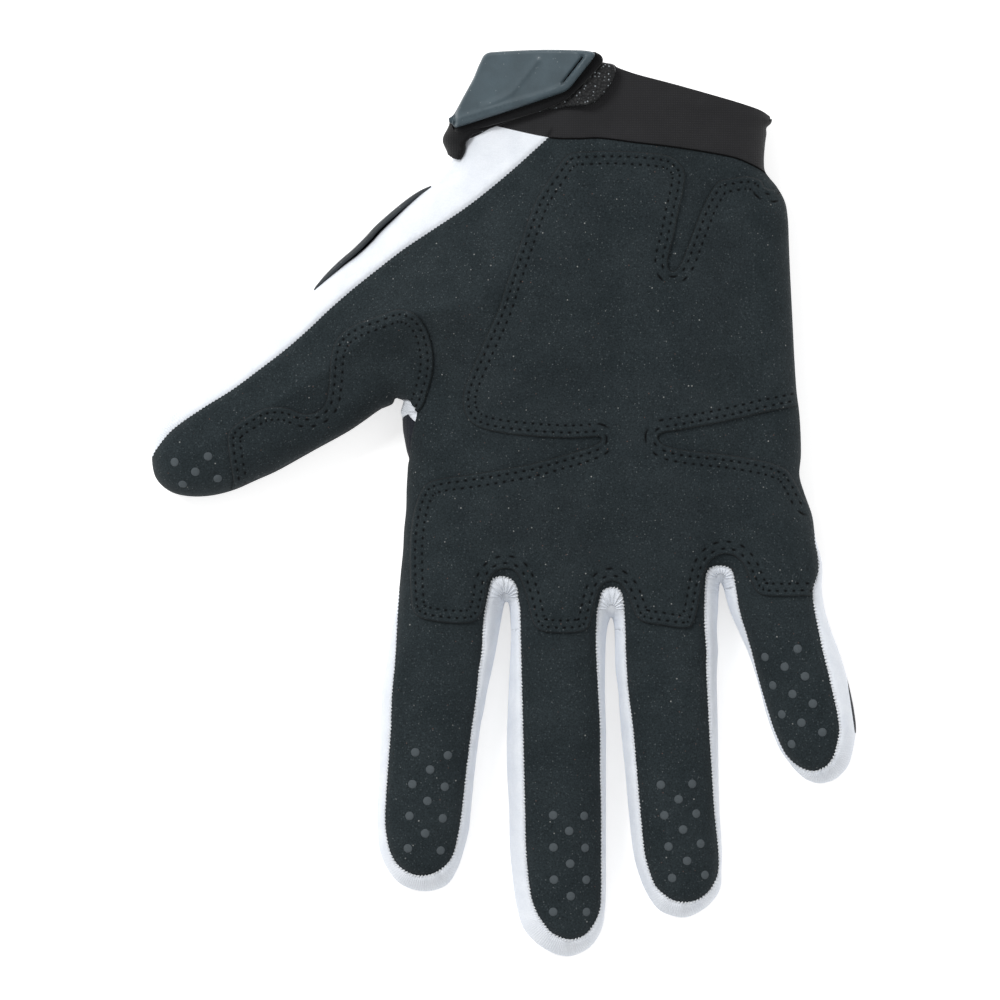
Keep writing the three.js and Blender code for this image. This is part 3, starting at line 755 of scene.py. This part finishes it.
# Edge of the cuff's opening, on the palm side
CUFF_RIM = [
    (430, 140), (450, 125), (470, 100), (500, 78), (550, 67), (605, 66), (618, 71), (639, 78), (679, 88), (721, 99),
    (745, 106), (760, 111), (768, 115.5), (776, 120),
]
# Front of the strap under its tab, and its run behind the cuff
STRAP_FRONT = [(449, 149), (425, 144), (425, 130), (452, 121), (470, 118), (560, 90), (580, 96), (530, 116), (475, 135),
               (469, 144), (466, 154), (461.5, 161), (457, 159.5)]
STRAP_BEHIND = [(457, 158), (449, 149), (425, 144), (425, 130), (452, 121), (470, 119), (700, 119), (700, 150),
                (500, 153)]
cuff_area = np.concatenate([spline(plan(CUFF_RIM), 0.5), plan([(900, 130), (900, 1000), (100, 1000), (100, 140)])])
strap_area = plan(STRAP_FRONT)
behind_area = plan(STRAP_BEHIND)

# Moulded guard along the far side of the thumb: its ends, how far it reaches over and under the thumb, and how far
# it stands out at least and in its middle
GUARD_ENDS = [(432, 186), (314, 291)]
GUARD_TOP = 0.45
GUARD_REACH = 6.0
GUARD_LEAST = 0.12
GUARD_PROUD = 1.75

# The whole outline is cut into triangles once for the palm side and once for the back, so that all panels meet.
# Rows of points beside the lines: how far off, and one of how many points is kept.
PANEL_STEP = 0.95
TOP_ROWS = ((0.13, 1), (0.45, 1), (1.0, 2), (1.8, 3), (2.7, 4))
UNDER_ROWS = ((0.2, 1), (0.8, 2), (1.7, 3), (BACK_INSET, 3), (4.2, 6), (UNDER_ROUND, 8))
SEAM_ROWS = ((0.15, 1), (0.4, 1), (0.8, 2), (1.4, 3))
# Room that a row of points leaves to other lines, and the share of its distance that it keeps to its own
ROW_CLEAR = 0.12
ROW_KEEPS = 0.93
SEAM_CLEAR = 1.6
EDGE_CLEAR = 3
BACK_STEP = 2.2


def rows_along(line, rows, away=()):
    """Points beside a line, on its left, kept clear of the outline and of the lines in away."""
    side = normals(line)
    out = []
    for distance, every in rows:
        row = (line + side * distance)[::every]
        from_edge = outline_line.nearest(row)[0]
        ok = inside(row, outline) & (from_edge > ROW_CLEAR)
        if line is outline:
            ok &= from_edge > ROW_KEEPS * distance
        for other in away:
            ok &= other.nearest(row)[0] > ROW_CLEAR
        out.append(row[ok])
    return out


seam_lines = (front_line, thumb_line, seam_line)
top_extra = rows_along(outline, TOP_ROWS, seam_lines)
for edge in (front_edge, thumb_edge, seam_edge):
    others = [line for line in seam_lines if line.points is not edge]
    for sign in (1, -1):
        top_extra += rows_along(edge, [(sign * d, every) for d, every in SEAM_ROWS], others)
grid = grid_over(outline, PANEL_STEP)
clear = np.minimum.reduce([line.nearest(grid)[0] for line in seam_lines]) > SEAM_CLEAR
grid = grid[inside(grid, outline) & (outline_line.nearest(grid)[0] > EDGE_CLEAR) & clear]
guard_from, guard_to = (outline_line.nearest(plan([place]))[1][0] for place in GUARD_ENDS)
guard_stretch = outline[(outline_line.along > guard_from) & (outline_line.along < guard_to)]
guard_side = normals(guard_stretch)
taper = np.sin(math.pi * np.linspace(0.02, 0.98, len(guard_stretch)))[:, None] ** 0.5
guard_out = guard_stretch - guard_side
guard_top_area, guard_under_area = (np.concatenate([guard_out, (guard_stretch + reach * guard_side * taper)[::-1]])
                                    for reach in (GUARD_TOP, GUARD_REACH))
top_points, top_tris, top_held = triangulate(
    [outline, hand_area, dark_area, cuff_area, strap_area, plan(BACK_SLIVER), plan(CROTCH_FOLD), guard_top_area],
    np.concatenate([*top_extra, grid]))
grid = grid_over(outline, BACK_STEP)
grid = grid[inside(grid, outline) & (outline_line.nearest(grid)[0] > UNDER_ROUND + 0.5)]
under_points, under_tris, under_held = triangulate([outline, hand_area, cuff_area, behind_area, guard_under_area],
                                                   np.concatenate([*rows_along(outline, UNDER_ROWS), grid]))
IN_OUTLINE, IN_HAND, IN_DARK, IN_CUFF, IN_STRAP, IN_SLIVER, IN_FOLD, IN_GUARD = range(8)
UNDER_CUFF, UNDER_STRAP, UNDER_GUARD = 2, 3, 4
top_tris, top_held = top_tris[top_held[:, IN_OUTLINE]], top_held[top_held[:, IN_OUTLINE]]
under_tris, under_held = under_tris[under_held[:, IN_OUTLINE]], under_held[under_held[:, IN_OUTLINE]]


def snapped(points):
    """Points, with those on the outline moved to its own corners so that both sides share them."""
    found = [outline_line.tree.find((x, y, 0)) for x, y in points]
    return np.array([outline[i] if far < ON_EDGE else place for place, (_, i, far) in zip(points, found)])


top_points, under_points = snapped(top_points), snapped(under_points)
top_distance, top_where = from_outline(top_points), outline_line.nearest(top_points)[1]
under_distance, under_where = from_outline(under_points), outline_line.nearest(under_points)[1]
shell_points = np.concatenate([
    np.column_stack([top_points, surface(top_points)]),
    np.column_stack([under_points, back_height(under_points, under_distance)]),
])
shell_uv = np.concatenate([np.column_stack([top_where, top_distance]), np.column_stack([under_where, -under_distance])])
shell_tris = np.concatenate([top_tris, under_tris[:, ::-1] + len(top_points)])


def weld(points, faces):
    """Joins points that lie together."""
    _, first, back = np.unique(np.round(points, 3), axis=0, return_index=True, return_inverse=True)
    faces = back.reshape(-1)[faces]
    whole = (faces[:, 0] != faces[:, 1]) & (faces[:, 1] != faces[:, 2]) & (faces[:, 0] != faces[:, 2])
    return first, faces, whole


first, shell_tris, whole = weld(shell_points, shell_tris)
shell_points, shell_uv = shell_points[first], shell_uv[first]
corner = shell_points[shell_tris]
face_normal = np.cross(corner[:, 1] - corner[:, 0], corner[:, 2] - corner[:, 0])
shell_normal = np.zeros_like(shell_points)
for i in range(3):
    np.add.at(shell_normal, shell_tris[:, i], face_normal)
shell_normal = unit(shell_normal)

# Places where the white cloth is gathered into ribs, with painted shade in their creases: the finger tips and the
# crotches
RIBBED = [((425, 880), 9), ((567, 945), 10), ((686, 906), 9), ((822, 772), 9), ((505, 588), 4), ((611, 598), 4),
          ((719, 577), 4), ((408, 410), 4), ((165, 425), 6)]
LEAST_RIBS = 0.08
shell_ribs = np.full(len(shell_points), LEAST_RIBS)
for place, reach in RIBBED:
    away = np.linalg.norm(shell_points[:, :2] - plan([place])[0], axis=1)
    shell_ribs = np.maximum(shell_ribs, bell(away, 0, reach))

top_centre = top_points[top_tris].mean(1)
under_centre = under_points[under_tris].mean(1)
top_owner = owner_of(outline_line.nearest(top_centre)[1])
under_owner = owner_of(outline_line.nearest(under_centre)[1])
low_back = outline_line.nearest(under_centre)[0] > BACK_INSET


def skin(name, top_mask, under_mask, thickness, grow=0.0):
    """Piece cut from the shell: the triangles of the palm side and of the back that the masks keep."""
    kept = np.concatenate([top_mask, under_mask]) & whole
    grow = np.broadcast_to(grow, len(shell_points))[:, None]
    placed = shell_points + grow * shell_normal
    placed[:, 2] = np.maximum(placed[:, 2], ON_EDGE * (grow[:, 0] > 0))
    piece = make_mesh(name, placed, shell_tris[kept], shell_uv)
    ribs = piece.data.attributes.new("ribs", "FLOAT", "POINT")
    ribs.data.foreach_set("value", shell_ribs[np.unique(shell_tris[kept])])
    thicken(piece, thickness)
    return piece


top_hand = top_held[:, IN_HAND]
under_hand = under_held[:, IN_HAND]
top_light = top_hand & ~top_held[:, IN_DARK]
top_owner[top_light & (top_owner == "palm_panel")] = "side_wall_index"
top_owner[top_light & (top_owner == "side_wall_index") & (top_centre[:, 0] > 0)] = "side_wall_little"
# Box round the crotch of the thumb, where the white gusset and the dark back show
crotch_left, crotch_low = plan([(385, 480)])[0]
crotch_right, crotch_high = plan([(430, 392)])[0]
in_crotch = ((top_centre > (crotch_left, crotch_low)) & (top_centre < (crotch_right, crotch_high))).all(1)
dark_bits = top_light & (top_held[:, IN_SLIVER] | (in_crotch & top_held[:, IN_FOLD]))
crotch_bits = top_light & in_crotch & ~dark_bits
palm = skin("palm_front", top_hand & top_held[:, IN_DARK],
            under_hand & ~low_back & (under_owner == "palm_panel"), CLOTH)
finish_piece(palm, SUEDE, "suede", "palm_panel")
back = skin("hand_back", dark_bits, under_hand & (low_back | (under_owner == "back_panel")), CLOTH)
finish_piece(back, BACK, "back_fabric", "back_panel")
for owner in ["side_wall_" + name for name in FINGERS] + ["thumb_gusset"]:
    mine = (top_light & ~dark_bits & ~crotch_bits & (top_owner == owner)) | (crotch_bits & (owner == "thumb_gusset"))
    side = skin(owner.replace("side_wall", "finger_side").replace("thumb_gusset", "thumb_side"),
                mine, under_hand & ~low_back & (under_owner == owner), CLOTH)
    finish_piece(side, WHITE if owner == "thumb_gusset" else WHITE_SIDE, "white_stretch", owner)
cuff = skin("cuff_tube", ~top_hand & top_held[:, IN_CUFF], ~under_hand & under_held[:, UNDER_CUFF], CUFF_CLOTH)
finish_piece(cuff, CUFF, "cuff_neoprene", "cuff_band")
# The strap stands out a little, and more at its free corner
strap_corner = plan([(452, 140)])[0]
corner_share = bell(shell_points[:, 1], strap_corner[1], 2.6) * bell(shell_points[:, 0], strap_corner[0], 6)
strap = skin("cuff_strap", top_held[:, IN_STRAP], under_held[:, UNDER_STRAP], STRAP_CLOTH, 1.1 + 1.5 * corner_share)
finish_piece(strap, STRAP, "strap_webbing", "strap")
guard_share = (outline_line.nearest(shell_points[:, :2])[1] - guard_from) / (guard_to - guard_from)
proud = GUARD_PROUD * np.clip(np.sin(math.pi * np.clip(guard_share, 0, 1)), 0, 1) ** 0.7 + GUARD_LEAST
guard = skin("thumb_bumper", top_held[:, IN_GUARD], under_held[:, UNDER_GUARD], STRAP_CLOTH, proud)
finish_piece(guard, GUARD, "moulded_rubber", "thumb_guard")


# Rows of points inside the edge of a plate or a pad: how far in, and one of how many points is kept
PLATE_ROWS = ((0.12, 1), (0.3, 1), (0.6, 2), (1.0, 2), (1.5, 3))
PAD_ROWS = (
    (0.1, 1), (0.3, 1), (0.6, 1), (0.95, 1), (1.3, 1), (1.65, 1), (2.15, 2), (2.65, 1), (3.0, 1), (3.35, 1), (3.8, 2),
)


def plate(name, area, lift, rise, thickness, edge, step=0.8, limits=(), profile=None, rows=PLATE_ROWS):
    """Flat piece over the palm side: its plan outline, the height of its base, and how its top rises from its edge."""
    line = Line(np.concatenate([area, area[:1]]))
    side = normals(area, True) * turn_of(area)
    row_list = []
    for distance, every in rows:
        row = (area + side * distance)[::every]
        row_list.append(row[inside(row, area) & (line.nearest(row)[0] > ROW_KEEPS * distance)])
    inner = grid_over(area, step)
    inner = inner[inside(inner, area)]
    inner = inner[line.nearest(inner)[0] > rows[-1][0] + step * 0.5]
    points, tris, held = triangulate([area, *limits], np.concatenate([*row_list, inner]))
    distance, along = line.nearest(points)
    height = lift(points) + rise * dome(distance / edge)
    if profile is not None:
        height += profile(points, distance, along)
    piece = make_mesh(name, np.column_stack([points, height]), tris[held.all(1)], np.column_stack([along, distance]))
    thicken(piece, thickness)
    return piece


def inset_outline(distance):
    """The glove's outline drawn in a little, as a closed area."""
    row = outline + normals(outline) * distance
    return row[outline_line.nearest(row)[0] > 0.98 * distance]


# Reinforcing pads on the palm. Where they run past the glove's outline or the dark front they are cut off there.
PALM_PAD = [
    (568, 157), (552, 177), (537, 200), (528, 222), (520, 246), (509, 278), (498, 312), (481, 350), (466, 385),
    (463, 402), (467, 417), (478, 427), (500, 433), (537, 437), (570, 438.5), (590, 437.5), (598, 437), (601, 440),
    (596, 444.5), (582, 450), (560, 456.5), (530, 464.5), (500, 470), (468, 475), (440, 479), (427, 484), (420, 494),
    (415, 508), (412, 523), (410, 545), (410, 570), (411, 595), (413, 609), (420, 617), (436, 621), (458, 623),
    (474, 621), (482, 612), (486, 598), (488, 583), (494, 573), (503, 568.5), (513, 570), (520, 578), (525, 592),
    (529, 607), (533, 622), (540, 630), (555, 632.5), (575, 632), (587, 628), (592, 615), (596, 598), (600, 587),
    (606, 582), (613, 581), (620, 584), (626, 592), (631, 604), (636, 616), (644, 622), (662, 625), (680, 627.5),
    (690, 626), (695, 616), (699, 597), (703, 576), (708, 563), (716, 556), (724, 554), (734, 556), (743, 565),
    (749, 578), (755, 590), (763, 595), (780, 596), (800, 595.5), (825, 593), (835, 560), (830, 500), (808, 503),
    (796, 484), (787, 471), (775, 465), (761, 461), (729, 455.5), (700, 452.5), (678, 449.5), (663, 445), (657, 438),
    (661, 433.5), (672, 431.5), (690, 428.5), (728, 421), (765, 412.5), (796, 406), (825, 398), (825, 185), (771, 190),
    (760, 181), (748, 177.5), (737, 178.5), (720, 182), (714, 187), (703, 206), (693, 231), (683, 258), (678, 268),
    (672, 273), (667, 268), (668, 255), (672, 240), (677, 215), (682, 193), (684, 176), (678, 165), (663, 157),
    (620, 153.5), (590, 154),
]
THUMB_PAD = [
    (235, 500), (234, 480), (231, 460), (229, 445), (230, 433), (237, 425), (248, 418), (262, 410), (275, 407.5),
    (288, 408.5), (303, 414), (314, 413.5), (322, 409), (327, 401), (329, 390), (330.5, 375), (332, 356), (337, 341),
    (347, 330.5), (361, 323), (380, 316.5), (393, 311.5), (402, 310.5), (413, 314), (422, 322), (429, 335), (433, 352),
    (433, 372), (428, 391), (418, 412), (380, 440), (300, 480),
]
PAD_LIFT = 0.25
PAD_RISE = 0.85
PAD_CLOTH = 0.9
PAD_EDGE = 0.6
PAD_STEP = 0.75
PAD_INSET = 0.22


def pad_profile(points, distance, along):
    """Folded rim of a pad, the pits of its two rows of stitches and the softness between them."""
    height = 0.16 * bell(distance, 0.55, 0.4) + 0.35 * soft(3.2, 9, distance)
    for order, row in enumerate(STITCH_ROWS):
        pit = 0.5 + 0.5 * np.cos(2 * math.pi * (along / STITCH_PITCH - 0.5 * order))
        height -= (0.12 + 0.3 * pit**2) * bell(distance, row, 0.34)
    return height + 0.1 * soft(1, 6, distance) * wave(points, 3.2, 12.4)


def pad(name, points, node):
    """Second layer of suede over the palm, and its outline."""
    area = spline(plan(points), 0.35, True)
    piece = plate(name, area, lambda places: surface(places) + PAD_LIFT, PAD_RISE, PAD_CLOTH, PAD_EDGE, PAD_STEP,
                  [inset_outline(PAD_INSET), dark_area], pad_profile, PAD_ROWS)
    finish_piece(piece, PAD_SUEDE, "suede_pad", node)
    return area


pad_edges = [pad("palm_reinforcement", PALM_PAD, "palm_pad"), pad("thumb_reinforcement", THUMB_PAD, "thumb_pad")]


def wall_faces(start, rings, sides):
    """Faces between rings of corners."""
    faces = []
    for row in range(start, start + (rings - 1) * sides, sides):
        for k in range(sides):
            a, b = row + k, row + (k + 1) % sides
            faces += [(a, b, b + sides), (a, b + sides, a + sides)]
    return faces


class Beads:
    """Many small shapes in one mesh: stitches and grip dots laid on a surface."""

    def __init__(self):
        self.verts, self.faces = [], []

    def add(self, centre, along, across, up, half, sides=8, rings=3):
        """A flattened half ellipsoid, with half its length, width and height."""
        start = len(self.verts)
        centre, along, across, up = (np.asarray(v, float) for v in (centre, along, across, up))
        for ring in range(rings):
            tilt = math.pi / 2 * ring / rings
            for k in range(sides):
                turn = 2 * math.pi * k / sides
                self.verts.append(centre + along * half[0] * math.cos(tilt) * math.cos(turn)
                                  + across * half[1] * math.cos(tilt) * math.sin(turn)
                                  + up * half[2] * math.sin(tilt))
        top = len(self.verts)
        self.verts += [centre + up * half[2], centre - up * half[2] * 0.6]
        self.faces += wall_faces(start, rings, sides)
        last = start + (rings - 1) * sides
        for k in range(sides):
            self.faces.append((last + k, last + (k + 1) % sides, top))
            self.faces.append((start + (k + 1) % sides, start + k, top + 1))

    def piece(self, name):
        return make_mesh(name, np.array(self.verts), self.faces)


SLOPE_REACH = 0.3


def slope_normal(points):
    """Upward unit normals of the palm side."""
    slopes = []
    for step in ((SLOPE_REACH, 0), (0, SLOPE_REACH)):
        slopes.append((surface(points + step) - surface(points - step)) / (2 * SLOPE_REACH))
    return unit(np.column_stack([-slopes[0], -slopes[1], np.ones(len(points))]))


# Stitches along both rows of each pad, clear of the seams and of the outline
STITCH_AHEAD = 0.4
STITCH_SEAM_CLEAR = 0.7
STITCH_EDGE_CLEAR = 1.0
stitches = Beads()
for edge in pad_edges:
    pad_line = Line(np.concatenate([edge, edge[:1]]))
    side = normals(edge, True) * turn_of(edge)
    for order, distance in enumerate(STITCH_ROWS):
        row, far = edge + side * distance, pad_line.along[:-1]
        foot = between(np.arange(0.5 * order, pad_line.along[-1] / STITCH_PITCH) * STITCH_PITCH, far, row)
        ok = inside(foot, outline) & inside(foot, dark_area) & (pad_line.nearest(foot)[0] > 0.95 * distance)
        ok &= np.minimum(front_line.nearest(foot)[0], thumb_line.nearest(foot)[0]) > STITCH_SEAM_CLEAR
        foot = foot[ok & (outline_line.nearest(foot)[0] > STITCH_EDGE_CLEAR)]
        off, here = pad_line.nearest(foot)
        top = surface(foot) + PAD_LIFT + PAD_RISE + pad_profile(foot, off, here)
        ways = np.column_stack([between(here + STITCH_AHEAD, far, row) - foot, np.zeros(len(foot))])
        for (x, y), z, way, up in zip(foot, top, ways, slope_normal(foot)):
            across = unit(np.cross(up, way))
            stitches.add((x, y, z), np.cross(across, up), across, up, STITCH_HALF)
finish_piece(stitches.piece("pad_stitches"), THREAD, "suede_pad")

# Grip dots on the ends of the digits
DOT_HALF = (1.08, 1.08, 0.3)
DOT_SINK = 0.05
DOTS = [
    (415.6, 751.5), (448, 754.6), (430.3, 768.7), (412.7, 783.2), (445, 785.9), (427.6, 800), (409.8, 814.9),
    (443, 817.4), (425.4, 832.3), (408.2, 847.3), (440.8, 849.5), (553, 814.2), (583.9, 815), (569, 830),
    (553.3, 846.3), (584.9, 847), (570, 862.6), (553.8, 878.5), (586, 878.8), (570.5, 895), (553, 910.7), (586.2, 911),
    (660.3, 783.9), (691.7, 783), (678, 798.3), (663.9, 814.4), (695.7, 812.7), (682.5, 828.5), (668, 845.5),
    (700, 842.7), (686.5, 859.7), (671.6, 876.9), (704.4, 874), (796.6, 648.3), (764.4, 656.6), (783.8, 666.2),
    (804, 675.7), (772.2, 684.9), (791.6, 693.4), (811.8, 703), (781.2, 713.8), (800.6, 722), (821.3, 731.5),
    (791, 743.5), (175.6, 462.2), (209, 456.5), (196.3, 471.8), (218.5, 478.5), (183.5, 484.2),
]
dots = Beads()
places = plan(DOTS)
for place, z, up in zip(places, surface(places), slope_normal(places)):
    side = unit(np.cross(up, (0, 1, 0)))
    dots.add((*place, z - DOT_SINK), side, np.cross(up, side), up, DOT_HALF, 20, 4)
finish_piece(dots.piece("grip_dots"), DOT, "suede")

# Tab on the strap's end, the cloth under it and the hook patch
TAB = [
    (486, 56), (500, 54), (540, 53), (575, 54), (588, 55), (594, 57.5), (592, 63), (585, 72), (577, 82), (571, 89.5),
    (565, 94.5), (556, 98), (530, 106.5), (500, 116), (475, 123.5), (462, 127.5), (455, 128.5), (452.5, 124),
    (454, 116.5), (462, 101), (473, 81), (480, 65),
]
TAB_BACKING = [
    (490, 60), (540, 58), (588, 55.5), (596, 56.5), (601, 60), (602, 65.5), (597.5, 71.5), (588, 81.5), (577, 92.5),
    (563, 104), (546, 111.5), (529, 117), (500, 125), (475, 131), (460, 134.5), (453, 130), (451.5, 122), (458, 108),
    (475, 84),
]
HOOK_PATCH = [
    (560, 62), (604, 66), (614, 70.5), (613.5, 79.5), (609.5, 88), (603, 97), (596, 104), (585, 109), (567.5, 110),
    (542, 114), (516.5, 119.5), (495, 127), (472, 139.5), (466, 130), (500, 90),
]
# Places under the two ends of the tab, and the most that it stands off the cloth
TAB_LOW, TAB_HIGH = plan([(466, 110), (560, 90)])
TAB_OFF = 1.2


def over_cuff(grow):
    """Height over the cuff, evened out so that a stiff piece lies flat on it."""
    low, high = surface(np.array([TAB_LOW, TAB_HIGH]))
    way = (TAB_HIGH - TAB_LOW) / np.sum((TAB_HIGH - TAB_LOW) ** 2)

    def height(points):
        share = np.clip((points - TAB_LOW) @ way, -0.4, 1.5)
        return np.minimum(surface(points) + TAB_OFF, low + (high - low) * share) + grow

    return height


TAB_WELT = [(452, 123), (465.5, 118), (504, 107), (542, 97), (561, 90), (573, 78), (585, 62)]
TAB_RIDGE = [(537, 64), (522, 83), (511, 96), (500, 102), (483, 109)]
TAB_SLOT = [(583, 60), (562, 87)]
welt_line, ridge_line, slot_line = (Line(resample(plan(row), 0.3)) for row in (TAB_WELT, TAB_RIDGE, TAB_SLOT))


def tab_profile(points, distance, along):
    """Raised welt along two edges of the tab, its slanting ridge and its slot."""
    height = 0.5 * bell(welt_line.nearest(points)[0], 0, 0.45) + 0.4 * bell(ridge_line.nearest(points)[0], 0, 0.7)
    return height - 1.2 * bell(slot_line.nearest(points)[0], 0, 0.3)


CORD_SIDES = 6


def cords(name, paths, radius):
    """Thin round cords along points in millimetres, in one mesh."""
    turns = 2 * math.pi * np.arange(CORD_SIDES) / CORD_SIDES
    verts, faces, start = [], [], 0
    for path in paths:
        along = unit(np.gradient(path, axis=0))
        across = unit(np.cross(along, (0, 0, 1)))
        up = np.cross(across, along)
        rings = path[:, None] + radius * (np.cos(turns)[None, :, None] * across[:, None]
                                          + np.sin(turns)[None, :, None] * up[:, None])
        faces += wall_faces(start, len(path), CORD_SIDES)
        end = start + len(path) * CORD_SIDES
        for k in range(CORD_SIDES):
            after = (k + 1) % CORD_SIDES
            faces += [(start + k, end, start + after), (end - CORD_SIDES + k, end - CORD_SIDES + after, end + 1)]
        verts += [rings.reshape(-1, 3), path[:1], path[-1:]]
        start = end + 2
    corners = np.concatenate(verts)
    return make_mesh(name, corners, faces, corners[:, :2])


# White stitches that bind the edge of the dark front: spacing, size, place beside the edge and above it, and slant
BINDING_PITCH = 0.85
BINDING_HALF = (0.42, 0.19, 0.18)
BINDING_OUT = 0.2
BINDING_UP = 0.16
SLANT_OUT, SLANT_ALONG = 0.45, 0.9
binding = Beads()
at = np.arange(0, front_line.along[-1], BINDING_PITCH)
way = between(at, front_line.along, normals(front_edge))
place = between(at, front_line.along, front_edge) - BINDING_OUT * way
ok = inside(place, outline) & inside(place, hand_area) & (outline_line.nearest(place)[0] > 0.5)
place, way = place[ok], way[ok]
for (x, y), z, (ax, ay), up in zip(place, surface(place), way, slope_normal(place)):
    slant = (ax * SLANT_OUT - ay * SLANT_ALONG, ay * SLANT_OUT + ax * SLANT_ALONG, 0)
    slant = unit(np.cross(up, slant))
    binding.add((x, y, z + BINDING_UP), slant, np.cross(up, slant), up, BINDING_HALF, 6, 2)
finish_piece(binding.piece("edge_binding_stitches"), WHITE_THREAD, "white_stretch")

# Gathers of the white cloth in the crotches between the fingers, fanned out round a place in each
GATHERS = [(505, 597), (611, 609), (720, 578)]
GATHER_TURNS = np.radians(np.arange(5, 180, 19))
GATHER_REACH = np.linspace(1.1, 4.6, 12)[:, None]
gather_paths = []
for centre in plan(GATHERS):
    for turn in GATHER_TURNS:
        path = centre + GATHER_REACH * np.array([math.cos(turn), math.sin(turn)])
        path = path[~inside(path, dark_area) & inside(path, outline) & (outline_line.nearest(path)[0] > 0.15)]
        if len(path) > 3:
            gather_paths.append(np.column_stack([path, surface(path) - 0.02]))
finish_piece(cords("crotch_gathers", gather_paths, 0.24), WHITE_SIDE, "white_stretch")

# Cord in the seam between the palm and the cuff
wrist_path = seam_edge[seam_edge[:, 0] > plan([(548, 0)])[0, 0]]
wrist_path = wrist_path[inside(wrist_path, outline) & (outline_line.nearest(wrist_path)[0] > 0.3)]
wrist_cord = cords("wrist_seam_thread", [np.column_stack([wrist_path, surface(wrist_path) + 0.12])], 0.2)
finish_piece(wrist_cord, THREAD, "suede")

hook_patch = plate("hook_patch", spline(plan(HOOK_PATCH), 0.4, True), over_cuff(1.1),
                   rise=0.9, thickness=0.7, edge=0.5)
finish_piece(hook_patch, HOOK, "hook_tape", "loop_patch")
backing = plate("tab_backing", spline(plan(TAB_BACKING), 0.4, True), over_cuff(2.5),
                rise=1.2, thickness=1.1, edge=0.5, step=0.9)
finish_piece(backing, STRAP, "strap_webbing")
TAB_BASE = 4.2
tab = plate("strap_end_tab", spline(plan(TAB), 0.35, True), over_cuff(TAB_BASE),
            rise=2.1, thickness=1.9, edge=0.7, step=0.35, profile=tab_profile)
finish_piece(tab, RUBBER, "moulded_rubber", "strap_tab")
slot_path = resample(plan(TAB_SLOT), 0.4)
slot_height = over_cuff(TAB_BASE)(slot_path) + 1.15
slot_shade = cords("tab_slot_shade", [np.column_stack([slot_path, slot_height])], 0.24)
finish_piece(slot_shade, THREAD, "moulded_rubber")

# Floor, light and camera
REACH = 3.0
floor_mesh = bpy.data.meshes.new("floor")
floor_mesh.from_pydata([(-REACH, -REACH, 0), (REACH, -REACH, 0), (REACH, REACH, 0), (-REACH, REACH, 0)], [],
                       [(0, 1, 2, 3)])
floor = bpy.data.objects.new("floor", floor_mesh)
bpy.context.scene.collection.objects.link(floor)
floor_shader = Shader("floor", 0.9, specular=0.1)
floor_shader.bsdf.inputs["Base Color"].default_value = (0.85, 0.85, 0.85, 1)
floor_shader.bsdf.inputs["Emission Color"].default_value = (1, 1, 1, 1)
floor_shader.bsdf.inputs["Emission Strength"].default_value = 0.6
floor_mesh.materials.append(floor_shader.material)
floor.location.z = -0.0005

world = bpy.data.worlds.new("studio")
world.use_nodes = True
world.node_tree.nodes["Background"].inputs["Color"].default_value = (1, 1, 1, 1)
world.node_tree.nodes["Background"].inputs["Strength"].default_value = 0.6
bpy.context.scene.world = world


def area_light(name, place, aim, size, power):
    light = bpy.data.lights.new(name, "AREA")
    light.shape = "SQUARE"
    light.size = size
    light.energy = power
    made = bpy.data.objects.new(name, light)
    made.location = place
    made.rotation_euler = (Vector(aim) - Vector(place)).to_track_quat("-Z", "Y").to_euler()
    bpy.context.scene.collection.objects.link(made)


area_light("key", (-0.9, 0.9, 1.5), (0, 0, 0), 0.6, 20)
area_light("fill", (1.0, 0.3, 1.4), (0, 0, 0), 1.0, 3)

LENS, SENSOR = 400, 36
camera_data = bpy.data.cameras.new("camera")
camera_data.lens = LENS
camera_data.sensor_width = SENSOR
camera_data.clip_end = 20
camera = bpy.data.objects.new("camera", camera_data)
middle = plan([(IMAGE_SIZE / 2, IMAGE_SIZE / 2)])[0] * METRE
camera.location = (middle[0], middle[1], IMAGE_SIZE * PIXEL * METRE * LENS / SENSOR + WIDEST * METRE)
bpy.context.scene.collection.objects.link(camera)
bpy.context.scene.camera = camera
bpy.context.scene.view_settings.view_transform = "Standard"
